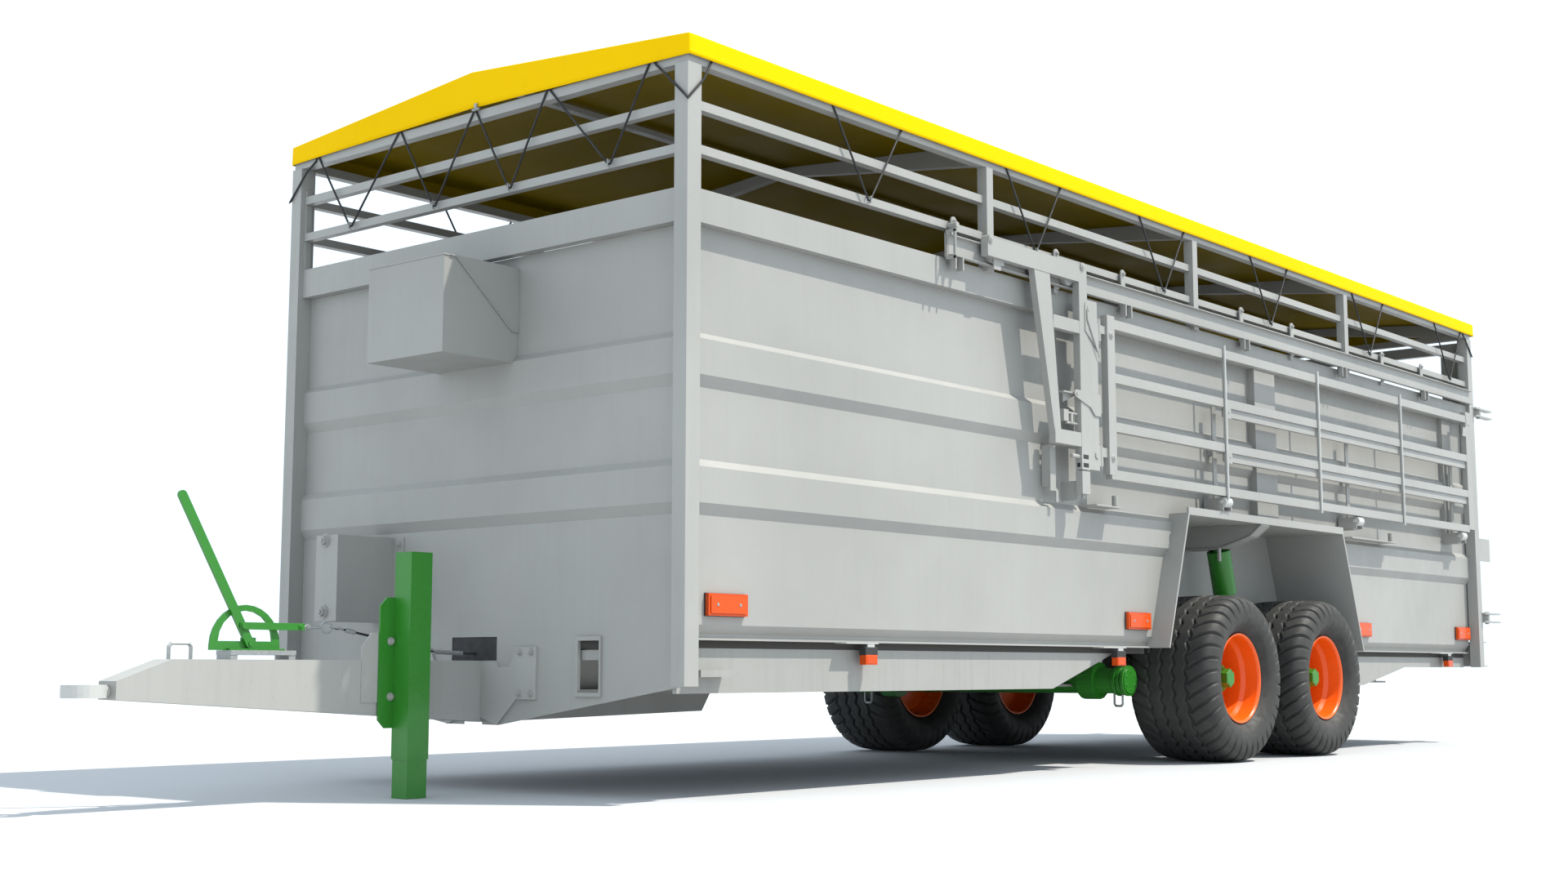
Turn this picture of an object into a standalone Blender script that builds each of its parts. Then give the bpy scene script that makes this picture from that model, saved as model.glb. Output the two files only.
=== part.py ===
"""Twin-axle livestock trailer with a centre-pole drawbar, a sprung bogie, a tarpaulin roof and a folding side gate.

Metres, +Z up, ground at z = 0, +Y rearwards and +X to the trailer's left. In the helpers every y is measured
from the front face of the corner posts, and FRONT_Y moves it to the object's own frame.
"""
import math

import bmesh
import bpy
from mathutils import Matrix, Vector

FRONT_Y = -3.1885          # the corner posts' front face in the object's own frame
GAP = 0.0003               # fitting gap between touching parts

# Body
POST_IN = 1.144            # corner posts, inner and outer faces
POST_OUT = 1.210
POST_DEEP = 0.074
BODY_END = 7.774           # rear face of the rear posts
POST_TOP = 2.699
SHEET = 0.005              # wall sheet
FRONT_BASE = 0.072         # front wall: plane of the flat sheet, and of the pressed ribs
FRONT_RIB = 0.048
WALL_BACK = FRONT_BASE + SHEET + GAP
SIDE_BASE = 1.138          # side walls: the same two planes
SIDE_RIB = 1.162
WALL_TOP = 2.1137
WALL_POSTS = ((4.572, 4.822, 1.181), (7.300, 7.440, 1.167))   # channels on the side walls: y, y, outer face
RIB_LEVELS = ((1.712, 1.688, 1.554, 1.512), (1.243, 1.215, 1.082, 1.040))
BEAM_TOP = 2.240           # top beam of the walls
SLATS = ((2.536, 2.571), (2.370, 2.404))
MID_POSTS = (1.945, 3.849, 5.723)
MID_POST = 0.050
DECK_BOTTOM = 0.555
DECK_TOP = 0.5831
SILL_IN = 1.080            # side sills of the chassis
SILL_OUT = 1.100
RAIL_IN = 0.480            # the two main rails
RAIL_OUT = 0.560

# Roof
COVER_HALF = 1.217
COVER_START = -0.003
COVER_END = 7.813
EAVE_Z = 2.806
RIDGE_Z = 2.905
SKIRT_Z = 2.724
COVER_SHEET = 0.004
CORD_R = 0.003
CORD_X = 1.209
CORD_Y = 0.0045

# Running gear
PIVOT_Y = 3.710            # cross tube that carries the trailing arms
PIVOT_Z = 0.420
PIVOT_R = 0.065
ROCKER_Y = 4.740           # bogie pin, midway between the axles
AXLE_Z = 0.433
AXLES = (4.224, 5.256)
WHEEL_MID = 1.027
PIN_R = 0.030
TOP_EYE_Y = 4.540          # upper eye of the spring cylinder
TOP_EYE_Z = 1.170
CYLINDER_X = 0.950
WELL_FRONT = ((3.446, DECK_TOP), (3.678, 1.253))   # inner outline of the wheel box, front and rear slopes
WELL_REAR = ((5.510, 1.253), (5.746, DECK_TOP))
WELL_IN = 0.765
WELL_OUT = 1.247
POCKET_IN = 0.585          # low pocket beside the wheels, for the arms
POCKET_TOP = 0.730
PLATE = 0.010

# Drawbar
BAR_HALF = 0.055
BAR_TOP = 0.512
EYE_Y = -1.600
EYE_Z = 0.405
EYE_THICK = 0.044
JACK_X = (0.0657, 0.1607)
JACK_Y = (-0.380, -0.280)
JACK_WALL = 0.0033
BRAKE_PIVOT = (-0.970, 0.568)
LINK_BOLT = (-1.003, 0.632)
LEVER_TIP = (-1.262, 1.080)

# Side gate
GATE_IN = 1.236
GATE_OUT = 1.272
TRACK_IN = 1.2103
TRACK_OUT = 1.2353
SWING_X = 1.254
SWING_Y = 2.800
HINGE_LEVELS = ((2.020, 2.100), (1.425, 1.516))

# Rear doors
DOOR_AXIS_X = 1.210
DOOR_AXIS_Y = 7.855
DOOR_FACES = (7.790, 7.830)
LUG_TIP = 8.050
LUG_PAIRS = ((2.175, 2.235), (0.789, 0.853))
LUG_SHEET = 0.010

GREY = (0.60, 0.61, 0.59)
GREEN = (0.045, 0.33, 0.03)
ORANGE = (0.95, 0.16, 0.01)
YELLOW = (1.0, 0.88, 0.0)
BLACK = (0.012, 0.012, 0.013)
RUBBER = (0.035, 0.035, 0.033)
ZINC = (0.62, 0.64, 0.66)
DARK = (0.20, 0.21, 0.21)
WHITE = (0.80, 0.80, 0.78)

for old in list(bpy.data.objects):
    bpy.data.objects.remove(old, do_unlink=True)

PARTS = bpy.data.collections.new("livestock_trailer")
CUTTERS = bpy.data.collections.new("cutters")
CUTTERS.hide_render = True
bpy.context.scene.collection.children.link(PARTS)
bpy.context.scene.collection.children.link(CUTTERS)


def piece(bm, placed=Matrix.Identity(4)):
    """A helper solid in the object's own frame, kept with the cutters until it is made a part."""
    bmesh.ops.transform(bm, matrix=Matrix.Translation((0, FRONT_Y, 0)) @ placed, verts=bm.verts)
    bmesh.ops.recalc_face_normals(bm, faces=bm.faces)
    mesh = bpy.data.meshes.new("piece")
    bm.to_mesh(mesh)
    bm.free()
    obj = bpy.data.objects.new("piece", mesh)
    obj.display_type = "WIRE"
    obj.hide_render = True
    CUTTERS.objects.link(obj)
    return obj


def block(x, y, z):
    """A box between two values on each axis."""
    bm = bmesh.new()
    bmesh.ops.create_cube(bm, size=1.0)
    size = Matrix.Diagonal((abs(x[1] - x[0]), abs(y[1] - y[0]), abs(z[1] - z[0]), 1.0))
    middle = Matrix.Translation(((x[0] + x[1]) / 2, (y[0] + y[1]) / 2, (z[0] + z[1]) / 2))
    return piece(bm, middle @ size)


def rod(start, end, radius, segments=16):
    """A round bar between two points."""
    start = Vector(start)
    end = Vector(end)
    run = end - start
    bm = bmesh.new()
    bmesh.ops.create_cone(bm, cap_ends=True, segments=segments, radius1=radius, radius2=radius, depth=run.length)
    turn = run.to_track_quat("Z", "Y").to_matrix().to_4x4()
    return piece(bm, Matrix.Translation((start + end) / 2) @ turn)


AXES = {
    "x": Matrix(((0, 0, 1, 0), (1, 0, 0, 0), (0, 1, 0, 0), (0, 0, 0, 1))),
    "y": Matrix(((1, 0, 0, 0), (0, 0, -1, 0), (0, 1, 0, 0), (0, 0, 0, 1))),
    "z": Matrix.Identity(4),
}


def mesh_of(curve_object):
    """The mesh of a curve object, which is then removed."""
    bpy.context.scene.collection.objects.link(curve_object)
    bpy.context.view_layer.update()
    depsgraph = bpy.context.evaluated_depsgraph_get()
    mesh = bpy.data.meshes.new_from_object(curve_object.evaluated_get(depsgraph))
    bm = bmesh.new()
    bm.from_mesh(mesh)
    bmesh.ops.remove_doubles(bm, verts=bm.verts, dist=1e-5)
    curve = curve_object.data
    bpy.data.objects.remove(curve_object, do_unlink=True)
    bpy.data.curves.remove(curve)
    bpy.data.meshes.remove(mesh)
    return bm


def plate(axis, outline, span):
    """A flat outline, (y, z), (x, z) or (x, y), given thickness along the named axis."""
    curve = bpy.data.curves.new("outline", "CURVE")
    curve.dimensions = "2D"
    curve.fill_mode = "BOTH"
    curve.extrude = abs(span[1] - span[0]) / 2
    spline = curve.splines.new("POLY")
    spline.points.add(len(outline) - 1)
    for point, place in zip(spline.points, outline):
        point.co = (place[0], place[1], 0.0, 1.0)
    spline.use_cyclic_u = True
    bm = mesh_of(bpy.data.objects.new("outline", curve))
    middle = (span[0] + span[1]) / 2
    along = {"x": (middle, 0, 0), "y": (0, middle, 0), "z": (0, 0, middle)}[axis]
    return piece(bm, Matrix.Translation(along) @ AXES[axis])


def cord(points, radius, closed=False):
    """A round cord along straight runs."""
    curve = bpy.data.curves.new("run", "CURVE")
    curve.dimensions = "3D"
    curve.bevel_depth = radius
    curve.bevel_resolution = 1
    curve.use_fill_caps = True
    spline = curve.splines.new("POLY")
    spline.points.add(len(points) - 1)
    for point, place in zip(spline.points, points):
        point.co = (place[0], place[1], place[2], 1.0)
    spline.use_cyclic_u = closed
    return piece(mesh_of(bpy.data.objects.new("run", curve)))


def turned(profile, centre, side=1, steps=24):
    """A profile of (radius, height), down its outer side, turned about an axis that points left or right."""
    bm = bmesh.new()
    ring = [bm.verts.new((radius, 0.0, height)) for radius, height in profile]
    for a, b in zip(ring, ring[1:]):
        bm.edges.new((a, b))
    if profile[0][0] > 0.0:
        bm.edges.new((ring[-1], ring[0]))
    mesh = bpy.data.meshes.new("piece")
    bm.to_mesh(mesh)
    bm.free()
    obj = bpy.data.objects.new("piece", mesh)
    obj.display_type = "WIRE"
    obj.hide_render = True
    obj.location = (centre[0], centre[1] + FRONT_Y, centre[2])
    obj.rotation_euler = (0, side * math.pi / 2, 0)
    CUTTERS.objects.link(obj)
    screw = obj.modifiers.new("turn", "SCREW")
    screw.axis = "Z"
    screw.steps = steps
    screw.render_steps = steps
    screw.use_merge_vertices = True
    screw.merge_threshold = 0.0001
    return obj


def combine(target, tool, operation):
    """A live Boolean between two pieces."""
    modifier = target.modifiers.new(operation.lower(), "BOOLEAN")
    modifier.operation = operation
    modifier.solver = "EXACT"
    modifier.object = tool


def join(target, *tools):
    for tool in tools:
        combine(target, tool, "UNION")
    return target


def cut(target, *tools):
    for tool in tools:
        combine(target, tool, "DIFFERENCE")
    return target


def part(name, obj, colour, roughness=0.5, metallic=0.0, origin=None):
    """Names a piece as a part, gives it its own material and puts its origin on its joint's axis."""
    CUTTERS.objects.unlink(obj)
    PARTS.objects.link(obj)
    obj.name = name
    obj.data.name = name
    obj.display_type = "TEXTURED"
    obj.hide_render = False
    if origin:
        place = Vector(origin) + Vector((0, FRONT_Y, 0))
        obj.data.transform(Matrix.Translation(-place))
        obj.location = place
    material = bpy.data.materials.new(name)
    material.use_nodes = True
    shader = material.node_tree.nodes["Principled BSDF"]
    shader.inputs["Base Color"].default_value = (*colour, 1.0)
    shader.inputs["Roughness"].default_value = roughness
    shader.inputs["Metallic"].default_value = metallic
    obj.data.materials.append(material)
    return obj


def ribbed(base, rib, inward, bottom, top):
    """Section of a pressed wall sheet: (plane, z) up the outer face and down the inner one."""
    outer = [(base, bottom)]
    for level in reversed(RIB_LEVELS):
        base_top, face_top, face_bottom, base_bottom = level
        outer += [(base, base_bottom), (rib, face_bottom), (rib, face_top), (base, base_top)]
    outer.append((base, top))
    return outer + [(plane + inward, z) for plane, z in reversed(outer)]


# Corner posts. The rear ones carry the hinge lugs and pins of the rear doors, and the left one the latch plate.
for side, hand in ((1, "left"), (-1, "right")):
    post_x = (side * POST_IN, side * POST_OUT)
    part(f"corner_post_front_{hand}", block(post_x, (0.0, POST_DEEP), (0.417, POST_TOP)), GREY)
    post = block(post_x, (BODY_END - POST_DEEP, BODY_END), (0.493, POST_TOP))
    for low, high in LUG_PAIRS:
        for z in (low, high - LUG_SHEET):
            join(post, block((side * 1.190, side * 1.232), (BODY_END - 0.01, LUG_TIP), (z, z + LUG_SHEET)))
        axis = (side * DOOR_AXIS_X, DOOR_AXIS_Y)
        join(post, rod((*axis, low + 0.004), (*axis, high - 0.004), 0.008, 12))
    if side == 1:
        join(post, block((1.196, 1.208), (BODY_END - 0.01, 7.965), (1.200, 1.350)))
    part(f"corner_post_rear_{hand}", post, GREY)

# Front wall: one pressed sheet between the posts, its lower edge falling to the drawbar.
inner = POST_IN - GAP
wall = plate("x", ribbed(FRONT_BASE, FRONT_RIB, SHEET, 0.230, WALL_TOP), (-inner, inner))
lower_edge = [(-1.3, 0.10), (-1.3, 0.4415), (-0.15, 0.262), (0.15, 0.262), (1.3, 0.4415), (1.3, 0.10)]
cut(wall, plate("y", lower_edge, (0.0, 0.2)))
cut(wall, block((-0.135, 0.135), (0.0, 0.2), (BAR_TOP + GAP, 0.605)))
cut(wall, block((-BAR_HALF - GAP, BAR_HALF + GAP), (0.0, 0.2), (0.2, BAR_TOP + 0.001)))
window = block((0.584, 0.724), (0.062, 0.076), (0.376, 0.601))
join(wall, window)
cut(wall, block((0.602, 0.715), (0.0, 0.2), (0.391, 0.585)))
part("front_wall", wall, GREY)


def well_solid(margin, x, low):
    """The wheel box's outline, grown by a margin and cut off at a level, as a solid between two x values."""
    grow = margin * 1.06
    slope = (WELL_FRONT[1][0] - WELL_FRONT[0][0]) / (WELL_FRONT[1][1] - WELL_FRONT[0][1])
    drop = slope * (DECK_TOP - low)
    outline = [(WELL_FRONT[0][0] - grow - drop, low), (WELL_FRONT[1][0] - grow, WELL_FRONT[1][1] + margin),
               (WELL_REAR[0][0] + grow, WELL_REAR[0][1] + margin), (WELL_REAR[1][0] + grow + drop, low)]
    return plate("x", outline, x)


# Side walls, each one pressed sheet with a turned-in lower edge and an opening over the wheels.
for side, hand in ((1, "left"), (-1, "right")):
    outer = [(1.085, DECK_TOP + GAP), (1.135, DECK_TOP + GAP), (1.135, 0.591), (1.112, 0.591), (1.112, 0.606),
             (SIDE_BASE, 0.639)]
    for level in reversed(RIB_LEVELS):
        base_top, face_top, face_bottom, base_bottom = level
        outer += [(SIDE_BASE, base_bottom), (SIDE_RIB, face_bottom), (SIDE_RIB, face_top), (SIDE_BASE, base_top)]
    outer.append((SIDE_BASE, WALL_TOP))
    inner_face = [(x - SHEET, z) for x, z in reversed(outer[5:])] + [(1.107, 0.608), (1.107, 0.592), (1.085, 0.592)]
    section = [(side * x, z) for x, z in outer + inner_face]
    wall = plate("y", section, (WALL_BACK, BODY_END - POST_DEEP - GAP))
    for start, end, depth in WALL_POSTS:
        post = block((side * (SIDE_BASE - SHEET), side * depth), (start, end), (1.300, WALL_TOP))
        cut(post, block((side * 1.100, side * (depth - 0.004)), (start + 0.004, end - 0.004), (1.200, 2.200)))
        join(wall, post)
    cut(wall, well_solid(PLATE + GAP, (side * 1.0, side * 1.3), 0.5))
    part(f"{hand}_wall", wall, GREY)

# Open frame above each side wall: top beam, two slats and three posts welded together.
for side, hand in ((1, "left"), (-1, "right")):
    run = (POST_DEEP + GAP, BODY_END - POST_DEEP - GAP)
    frame = block((side * 1.136, side * 1.186), run, (2.114, BEAM_TOP))
    for y in MID_POSTS:
        join(frame, block((side * 1.160, side * POST_OUT), (y, y + MID_POST), (BEAM_TOP - 0.012, POST_TOP)))
    for low, high in SLATS:
        join(frame, block((side * 1.150, side * 1.190), run, (low, high)))
    part(f"{hand}_upper_frame", frame, GREY)

frame = block((-inner, inner), (0.024, 0.070), (2.114, BEAM_TOP))
for side in (1, -1):
    join(frame, block((side * (inner - 0.008), side * inner), (0.026, 0.056), (2.200, 2.600)))
for low, high in SLATS:
    join(frame, block((-inner + 0.002, inner - 0.002), (0.022, 0.058), (low, high)))
part("front_upper_frame", frame, GREY)

# Roof: perimeter tubes on the posts, hoops to the ridge, and a gabled cover with a skirt.
roof = block((-1.205, 1.205), (0.008, 7.766), (POST_TOP + GAP, 2.738))
cut(roof, block((-1.160, 1.160), (0.053, 7.721), (2.6, 2.8)))
slope = (RIDGE_Z - EAVE_Z) / COVER_HALF
for y in (0.010, 1.945, 3.849, 5.723, 7.724):
    hoop = [(-1.180, 2.715), (-1.180, 2.804), (0.0, 2.804 + 1.180 * slope), (1.180, 2.804), (1.180, 2.715),
            (1.150, 2.715), (0.0, 2.764 + 1.140 * slope), (-1.150, 2.715)]
    join(roof, plate("y", hoop, (y, y + 0.040)))
join(roof, block((-0.020, 0.020), (0.020, 7.750), (2.864, 2.888)))
part("roof_frame", roof, GREY)


def gable(drop, low, span):
    """The roof's cross-section, its slopes and sides set in by the sheet's thickness times a factor."""
    half = COVER_HALF - drop
    top = EAVE_Z - drop
    return plate("y", [(-half, low), (-half, top), (0.0, RIDGE_Z - drop), (half, top), (half, low)], span)


cover = gable(0.0, SKIRT_Z, (COVER_START, COVER_END))
cut(cover, gable(COVER_SHEET, 2.6, (COVER_START + COVER_SHEET, COVER_END - COVER_SHEET)))
part("roof_cover", cover, YELLOW, 0.6)

# Elastic cord that holds the cover down, zig-zag from the skirt to the lower slat.
SIDE_LOWS = (1.088, 2.341, 3.537, 4.743, 6.081, 7.369)
FRONT_LOWS = (-0.783, -0.226, 0.239, 0.801)
FRONT_TOPS = (-1.038, -0.460, 0.020, 0.455, 1.019)
CORD_LOW = 2.381
CORD_TOP = 2.745             # behind the skirt


def side_run(side):
    run = [(side * 1.045, CORD_Y, 2.716), (side * 1.100, -0.0045, 2.670), (side * 1.2137, -0.0045, 2.556),
           (side * 1.2137, 0.080, 2.645), (side * CORD_X, 0.125, 2.716), (side * CORD_X, 0.145, CORD_TOP)]
    for y in SIDE_LOWS:
        run += [(side * CORD_X, y - 0.250, CORD_TOP), (side * CORD_X, y, CORD_LOW)]
        run.append((side * CORD_X, y + 0.240, CORD_TOP))
    return run + [(side * CORD_X, 7.640, 2.716), (side * 1.2137, 7.690, 2.660), (side * 1.2137, 7.777, 2.580)]


front = [(FRONT_TOPS[0], CORD_Y, CORD_TOP)]
for low, top in zip(FRONT_LOWS, FRONT_TOPS[1:]):
    front += [(low, CORD_Y, CORD_LOW), (top, CORD_Y, CORD_TOP)]
lacing = cord(list(reversed(side_run(-1))) + front + side_run(1), CORD_R)
part("roof_lacing", lacing, BLACK, 0.7)

# Chassis: two main rails, cross members above the drawbar, and a sill under each side.
frame = None
for side in (1, -1):
    rail = block((side * RAIL_IN, side * RAIL_OUT), (WALL_BACK, 7.690), (0.390, DECK_BOTTOM - GAP))
    cut(rail, block((side * (RAIL_IN + 0.012), side * 0.700), (0.0, 7.8), (0.402, 0.543)))
    front_sill = [(WALL_BACK, 0.390), (2.600, 0.390), (3.150, DECK_BOTTOM - GAP), (WALL_BACK, DECK_BOTTOM - GAP)]
    rear_sill = [(5.890, DECK_BOTTOM - GAP), (5.970, 0.385), (6.070, 0.385), (6.700, 0.492), (7.690, 0.492),
                 (7.690, DECK_BOTTOM - GAP)]
    for outline in (front_sill, rear_sill):
        sill = plate("x", outline, (side * SILL_IN, side * SILL_OUT))
        join(rail, sill)
    frame = rail if frame is None else join(frame, rail)
for y in (0.085, 1.000, 2.000, 3.000, 5.960, 6.800, 7.620):
    join(frame, block((-1.090, 1.090), (y, y + 0.060), (BAR_TOP + GAP, 0.550)))
for y in (3.900, 5.400):
    join(frame, block((-0.500, 0.500), (y, y + 0.060), (0.450, 0.550)))
for side in (1, -1):
    join(frame, block((side * 1.070, side * 1.180), (0.120, 0.320), (0.450, 0.475)))
cut(frame, rod((-1.0, PIVOT_Y, PIVOT_Z), (1.0, PIVOT_Y, PIVOT_Z), PIVOT_R + GAP, 24))
cut(frame, block((-0.020, 0.020), (0.080, 0.160), (0.532, 0.600)))
part("chassis_frame", frame, GREY)

deck = block((-SILL_OUT, SILL_OUT), (WALL_BACK, 7.690), (DECK_BOTTOM, DECK_TOP))
for side in (1, -1):
    cut(deck, block((side * POCKET_IN, side * 1.2), (WELL_FRONT[0][0], WELL_REAR[1][0]), (0.5, 0.7)))
part("floor_deck", deck, DARK, 0.7)

bumper = block((-1.205, 1.205), (BODY_END + GAP, 7.845), (0.498, 0.660))
cut(bumper, block((-1.3, 1.3), (7.780, 7.900), (0.504, 0.654)))
part("rear_bumper", bumper, GREY)

# Wheel boxes: an outer arch over the wheels, and a low pocket further in for the trailing arm.
for side, hand in ((1, "left"), (-1, "right")):
    box = well_solid(PLATE, (side * (WELL_IN - PLATE), side * WELL_OUT), DECK_TOP + GAP)
    pocket_y = (WELL_FRONT[0][0], WELL_REAR[1][0])
    join(box, block((side * (POCKET_IN - PLATE), side * (WELL_IN + 0.01)),
                    (pocket_y[0] - PLATE, pocket_y[1] + PLATE), (DECK_TOP + GAP, POCKET_TOP + PLATE)))
    join(box, block((side * 1.235, side * WELL_OUT), (3.668, 5.520), (1.240, 1.292)))
    cut(box, well_solid(0.0, (side * WELL_IN, side * 1.4), 0.5))
    cut(box, block((side * POCKET_IN, side * (WELL_IN + 0.05)), pocket_y, (0.5, POCKET_TOP)))
    bracket = [(0.760, 1.258), (0.760, 1.130), (1.000, 1.130), (1.170, 1.190), (1.238, 1.245), (1.238, 1.258)]
    arm = plate("y", [(side * x, z) for x, z in bracket], (4.500, 4.580))
    cut(arm, block((side * 0.925, side * 0.975), (4.4, 4.7), (1.1, 1.225)))
    join(arm, rod((side * 0.915, TOP_EYE_Y, TOP_EYE_Z), (side * 0.985, TOP_EYE_Y, TOP_EYE_Z), 0.012, 12))
    join(box, arm)
    part(f"wheel_box_{hand}", box, GREY)

# Running gear
tube = rod((-0.870, PIVOT_Y, PIVOT_Z), (0.870, PIVOT_Y, PIVOT_Z), PIVOT_R, 24)
for side in (1, -1):
    join(tube, rod((side * 0.820, PIVOT_Y, PIVOT_Z), (side * 0.840, PIVOT_Y, PIVOT_Z), 0.073, 24))
part("pivot_tube", tube, GREEN)

DOWN = Vector((0, ROCKER_Y - TOP_EYE_Y, AXLE_Z - TOP_EYE_Z)).normalized()


def along(distance, x):
    """A point on the cylinder's line, measured from its upper eye."""
    return (x, TOP_EYE_Y + DOWN.y * distance, TOP_EYE_Z + DOWN.z * distance)


LOWER_EYE = math.hypot(ROCKER_Y - TOP_EYE_Y, AXLE_Z - TOP_EYE_Z)
for side, hand in ((1, "left"), (-1, "right")):
    arm = block((side * 0.600, side * 0.690), (PIVOT_Y, ROCKER_Y), (PIVOT_Z - 0.040, PIVOT_Z + 0.048))
    join(arm, rod((side * 0.598, PIVOT_Y, PIVOT_Z), (side * 0.692, PIVOT_Y, PIVOT_Z), 0.095, 16))
    join(arm, rod((side * 0.598, ROCKER_Y, AXLE_Z), (side * 0.6945, ROCKER_Y, AXLE_Z), 0.070, 16))
    join(arm, rod((side * 0.620, ROCKER_Y, AXLE_Z), (side * 1.000, ROCKER_Y, AXLE_Z), PIN_R, 16))
    bore = PIVOT_R / math.cos(math.pi / 24) + GAP
    cut(arm, rod((side * 0.5, PIVOT_Y, PIVOT_Z), (side * 0.8, PIVOT_Y, PIVOT_Z), bore, 24))
    part(f"suspension_arm_{hand}", arm, GREEN, 0.4, 0.0, (side * 0.645, PIVOT_Y, PIVOT_Z))

    rocker = block((side * 0.700, side * 0.760), (AXLES[0], AXLES[1]), (AXLE_Z - 0.043, AXLE_Z + 0.043))
    join(rocker, rod((side * 0.698, ROCKER_Y, AXLE_Z), (side * 0.768, ROCKER_Y, AXLE_Z), 0.062, 16))
    for y in AXLES:
        join(rocker, rod((side * 0.702, y, AXLE_Z), (side * 0.762, y, AXLE_Z), 0.055, 16))
        join(rocker, rod((side * 0.720, y, AXLE_Z), (side * 1.060, y, AXLE_Z), PIN_R, 16))
    cut(rocker, rod((side * 0.6, ROCKER_Y, AXLE_Z), (side * 0.9, ROCKER_Y, AXLE_Z), PIN_R + 0.0005, 16))
    part(f"bogie_rocker_{hand}", rocker, GREEN, 0.4, 0.0, (side * 0.730, ROCKER_Y, AXLE_Z))

    x = side * CYLINDER_X
    barrel = rod(along(0.075, x), along(0.300, x), 0.055, 16)
    join(barrel, rod((x - 0.020, TOP_EYE_Y, TOP_EYE_Z), (x + 0.020, TOP_EYE_Y, TOP_EYE_Z), 0.030, 12))
    join(barrel, block((x - 0.020, x + 0.020), (TOP_EYE_Y - 0.022, TOP_EYE_Y + 0.030), (1.080, TOP_EYE_Z)))
    cut(barrel, rod((x - 0.1, TOP_EYE_Y, TOP_EYE_Z), (x + 0.1, TOP_EYE_Y, TOP_EYE_Z), 0.0125, 12))
    cut(barrel, rod(along(0.125, x), along(0.400, x), 0.0256, 16))
    part(f"cylinder_barrel_{hand}", barrel, GREEN, 0.4, 0.0, (x, TOP_EYE_Y, TOP_EYE_Z))

    piston = rod(along(0.270, x), along(LOWER_EYE - 0.030, x), 0.025, 16)
    join(piston, rod((x - 0.020, ROCKER_Y, AXLE_Z), (x + 0.020, ROCKER_Y, AXLE_Z), 0.050, 16))
    cut(piston, rod((x - 0.1, ROCKER_Y, AXLE_Z), (x + 0.1, ROCKER_Y, AXLE_Z), PIN_R + 0.003, 16))
    part(f"cylinder_rod_{hand}", piston, GREEN, 0.4, 0.0, along(LOWER_EYE, x))

# Wheels: tyre, rim and hub turned about each axle, heights measured outwards from the wheel's mid-plane.
TYRE = [(0.2228, 0.188), (0.2345, 0.191), (0.275, 0.230), (0.335, 0.245), (0.410, 0.222), (0.433, 0.170)]
TYRE_INSIDE = [(0.395, 0.172), (0.2228, 0.166)]
tyre_profile = [(r, h) for r, h in TYRE] + [(r, -h) for r, h in reversed(TYRE)]
tyre_profile += [(r, -h) for r, h in reversed(TYRE_INSIDE)] + [(r, h) for r, h in TYRE_INSIDE]
RIM = [(0.234, 0.200), (0.234, 0.1925), (0.222, 0.1915), (0.222, -0.1915), (0.234, -0.1925), (0.234, -0.200),
       (0.215, -0.198), (0.213, -0.090), (0.070, -0.075), (0.070, -0.065), (0.200, -0.060), (0.215, 0.198)]
HUB = [(0.0, 0.144), (0.050, 0.144), (0.050, 0.088), (0.068, 0.082), (0.068, -0.050), (0.105, -0.052),
       (0.105, -0.0633), (0.0685, -0.0633), (0.0685, -0.150), (0.0310, -0.150), (0.0310, 0.060), (0.0, 0.060)]
WHEEL_STEPS = 24
HUB_STEPS = 16
for side, hand in ((1, "left"), (-1, "right")):
    for y, place in zip(AXLES, ("front", "rear")):
        centre = (side * WHEEL_MID, y, AXLE_Z)
        part(f"tyre_{place}_{hand}", turned(tyre_profile, centre, side, WHEEL_STEPS), RUBBER, 0.85)
        part(f"rim_{place}_{hand}", turned(RIM, centre, side, WHEEL_STEPS), ORANGE, 0.4)
        part(f"hub_{place}_{hand}", turned(HUB, centre, side, HUB_STEPS), GREEN, 0.4)

# Drawbar, with the jack's bracket plate welded to its left side, and the towing eye in its bored tip.
side_view = [(-1.515, 0.377), (-1.515, 0.439), (-1.310, BAR_TOP), (1.500, BAR_TOP), (1.350, 0.295), (0.100, 0.271)]
bar = plate("x", side_view, (-BAR_HALF, BAR_HALF))
bracket = [(-0.520, 0.355), (-0.520, 0.560), (-0.475, 0.614), (-0.280, 0.614), (-0.280, 0.355)]
join(bar, plate("x", bracket, (BAR_HALF - 0.004, 0.0593)))
cut(bar, rod((0, -1.600, EYE_Z), (0, -1.395, EYE_Z), 0.0205, 16))
part("drawbar", bar, GREY)

eye = rod((0, EYE_Y, EYE_Z - EYE_THICK / 2), (0, EYE_Y, EYE_Z + EYE_THICK / 2), 0.073, 24)
join(eye, rod((0, EYE_Y, EYE_Z), (0, -1.400, EYE_Z), 0.020, 16))
cut(eye, rod((0, EYE_Y, 0.3), (0, EYE_Y, 0.5), 0.025, 20))
part("towing_eye", eye, WHITE, 0.4, 0.3)

for side, hand in ((1, "left"), (-1, "right")):
    outline = [(BAR_HALF + GAP, 0.290), (0.150, 0.262), (0.260, 0.363), (0.370, 0.363), (0.372, 0.564), (0.262, 0.564),
               (0.220, 0.488), (0.153, 0.488), (0.142, 0.508), (BAR_HALF + GAP, 0.508)]
    gusset = plate("y", [(side * x, z) for x, z in outline], (0.0617, FRONT_BASE - GAP))
    part(f"drawbar_bracket_{hand}", gusset, GREY)

handle = [(0, -1.291, BAR_TOP + GAP), (0, -1.291, 0.556), (0, -1.281, 0.5665), (0, -1.215, 0.5665), (0, -1.205, 0.556),
          (0, -1.205, BAR_TOP + GAP)]
part("drawbar_handle", cord(handle, 0.0065), ZINC, 0.35, 0.7)

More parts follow.
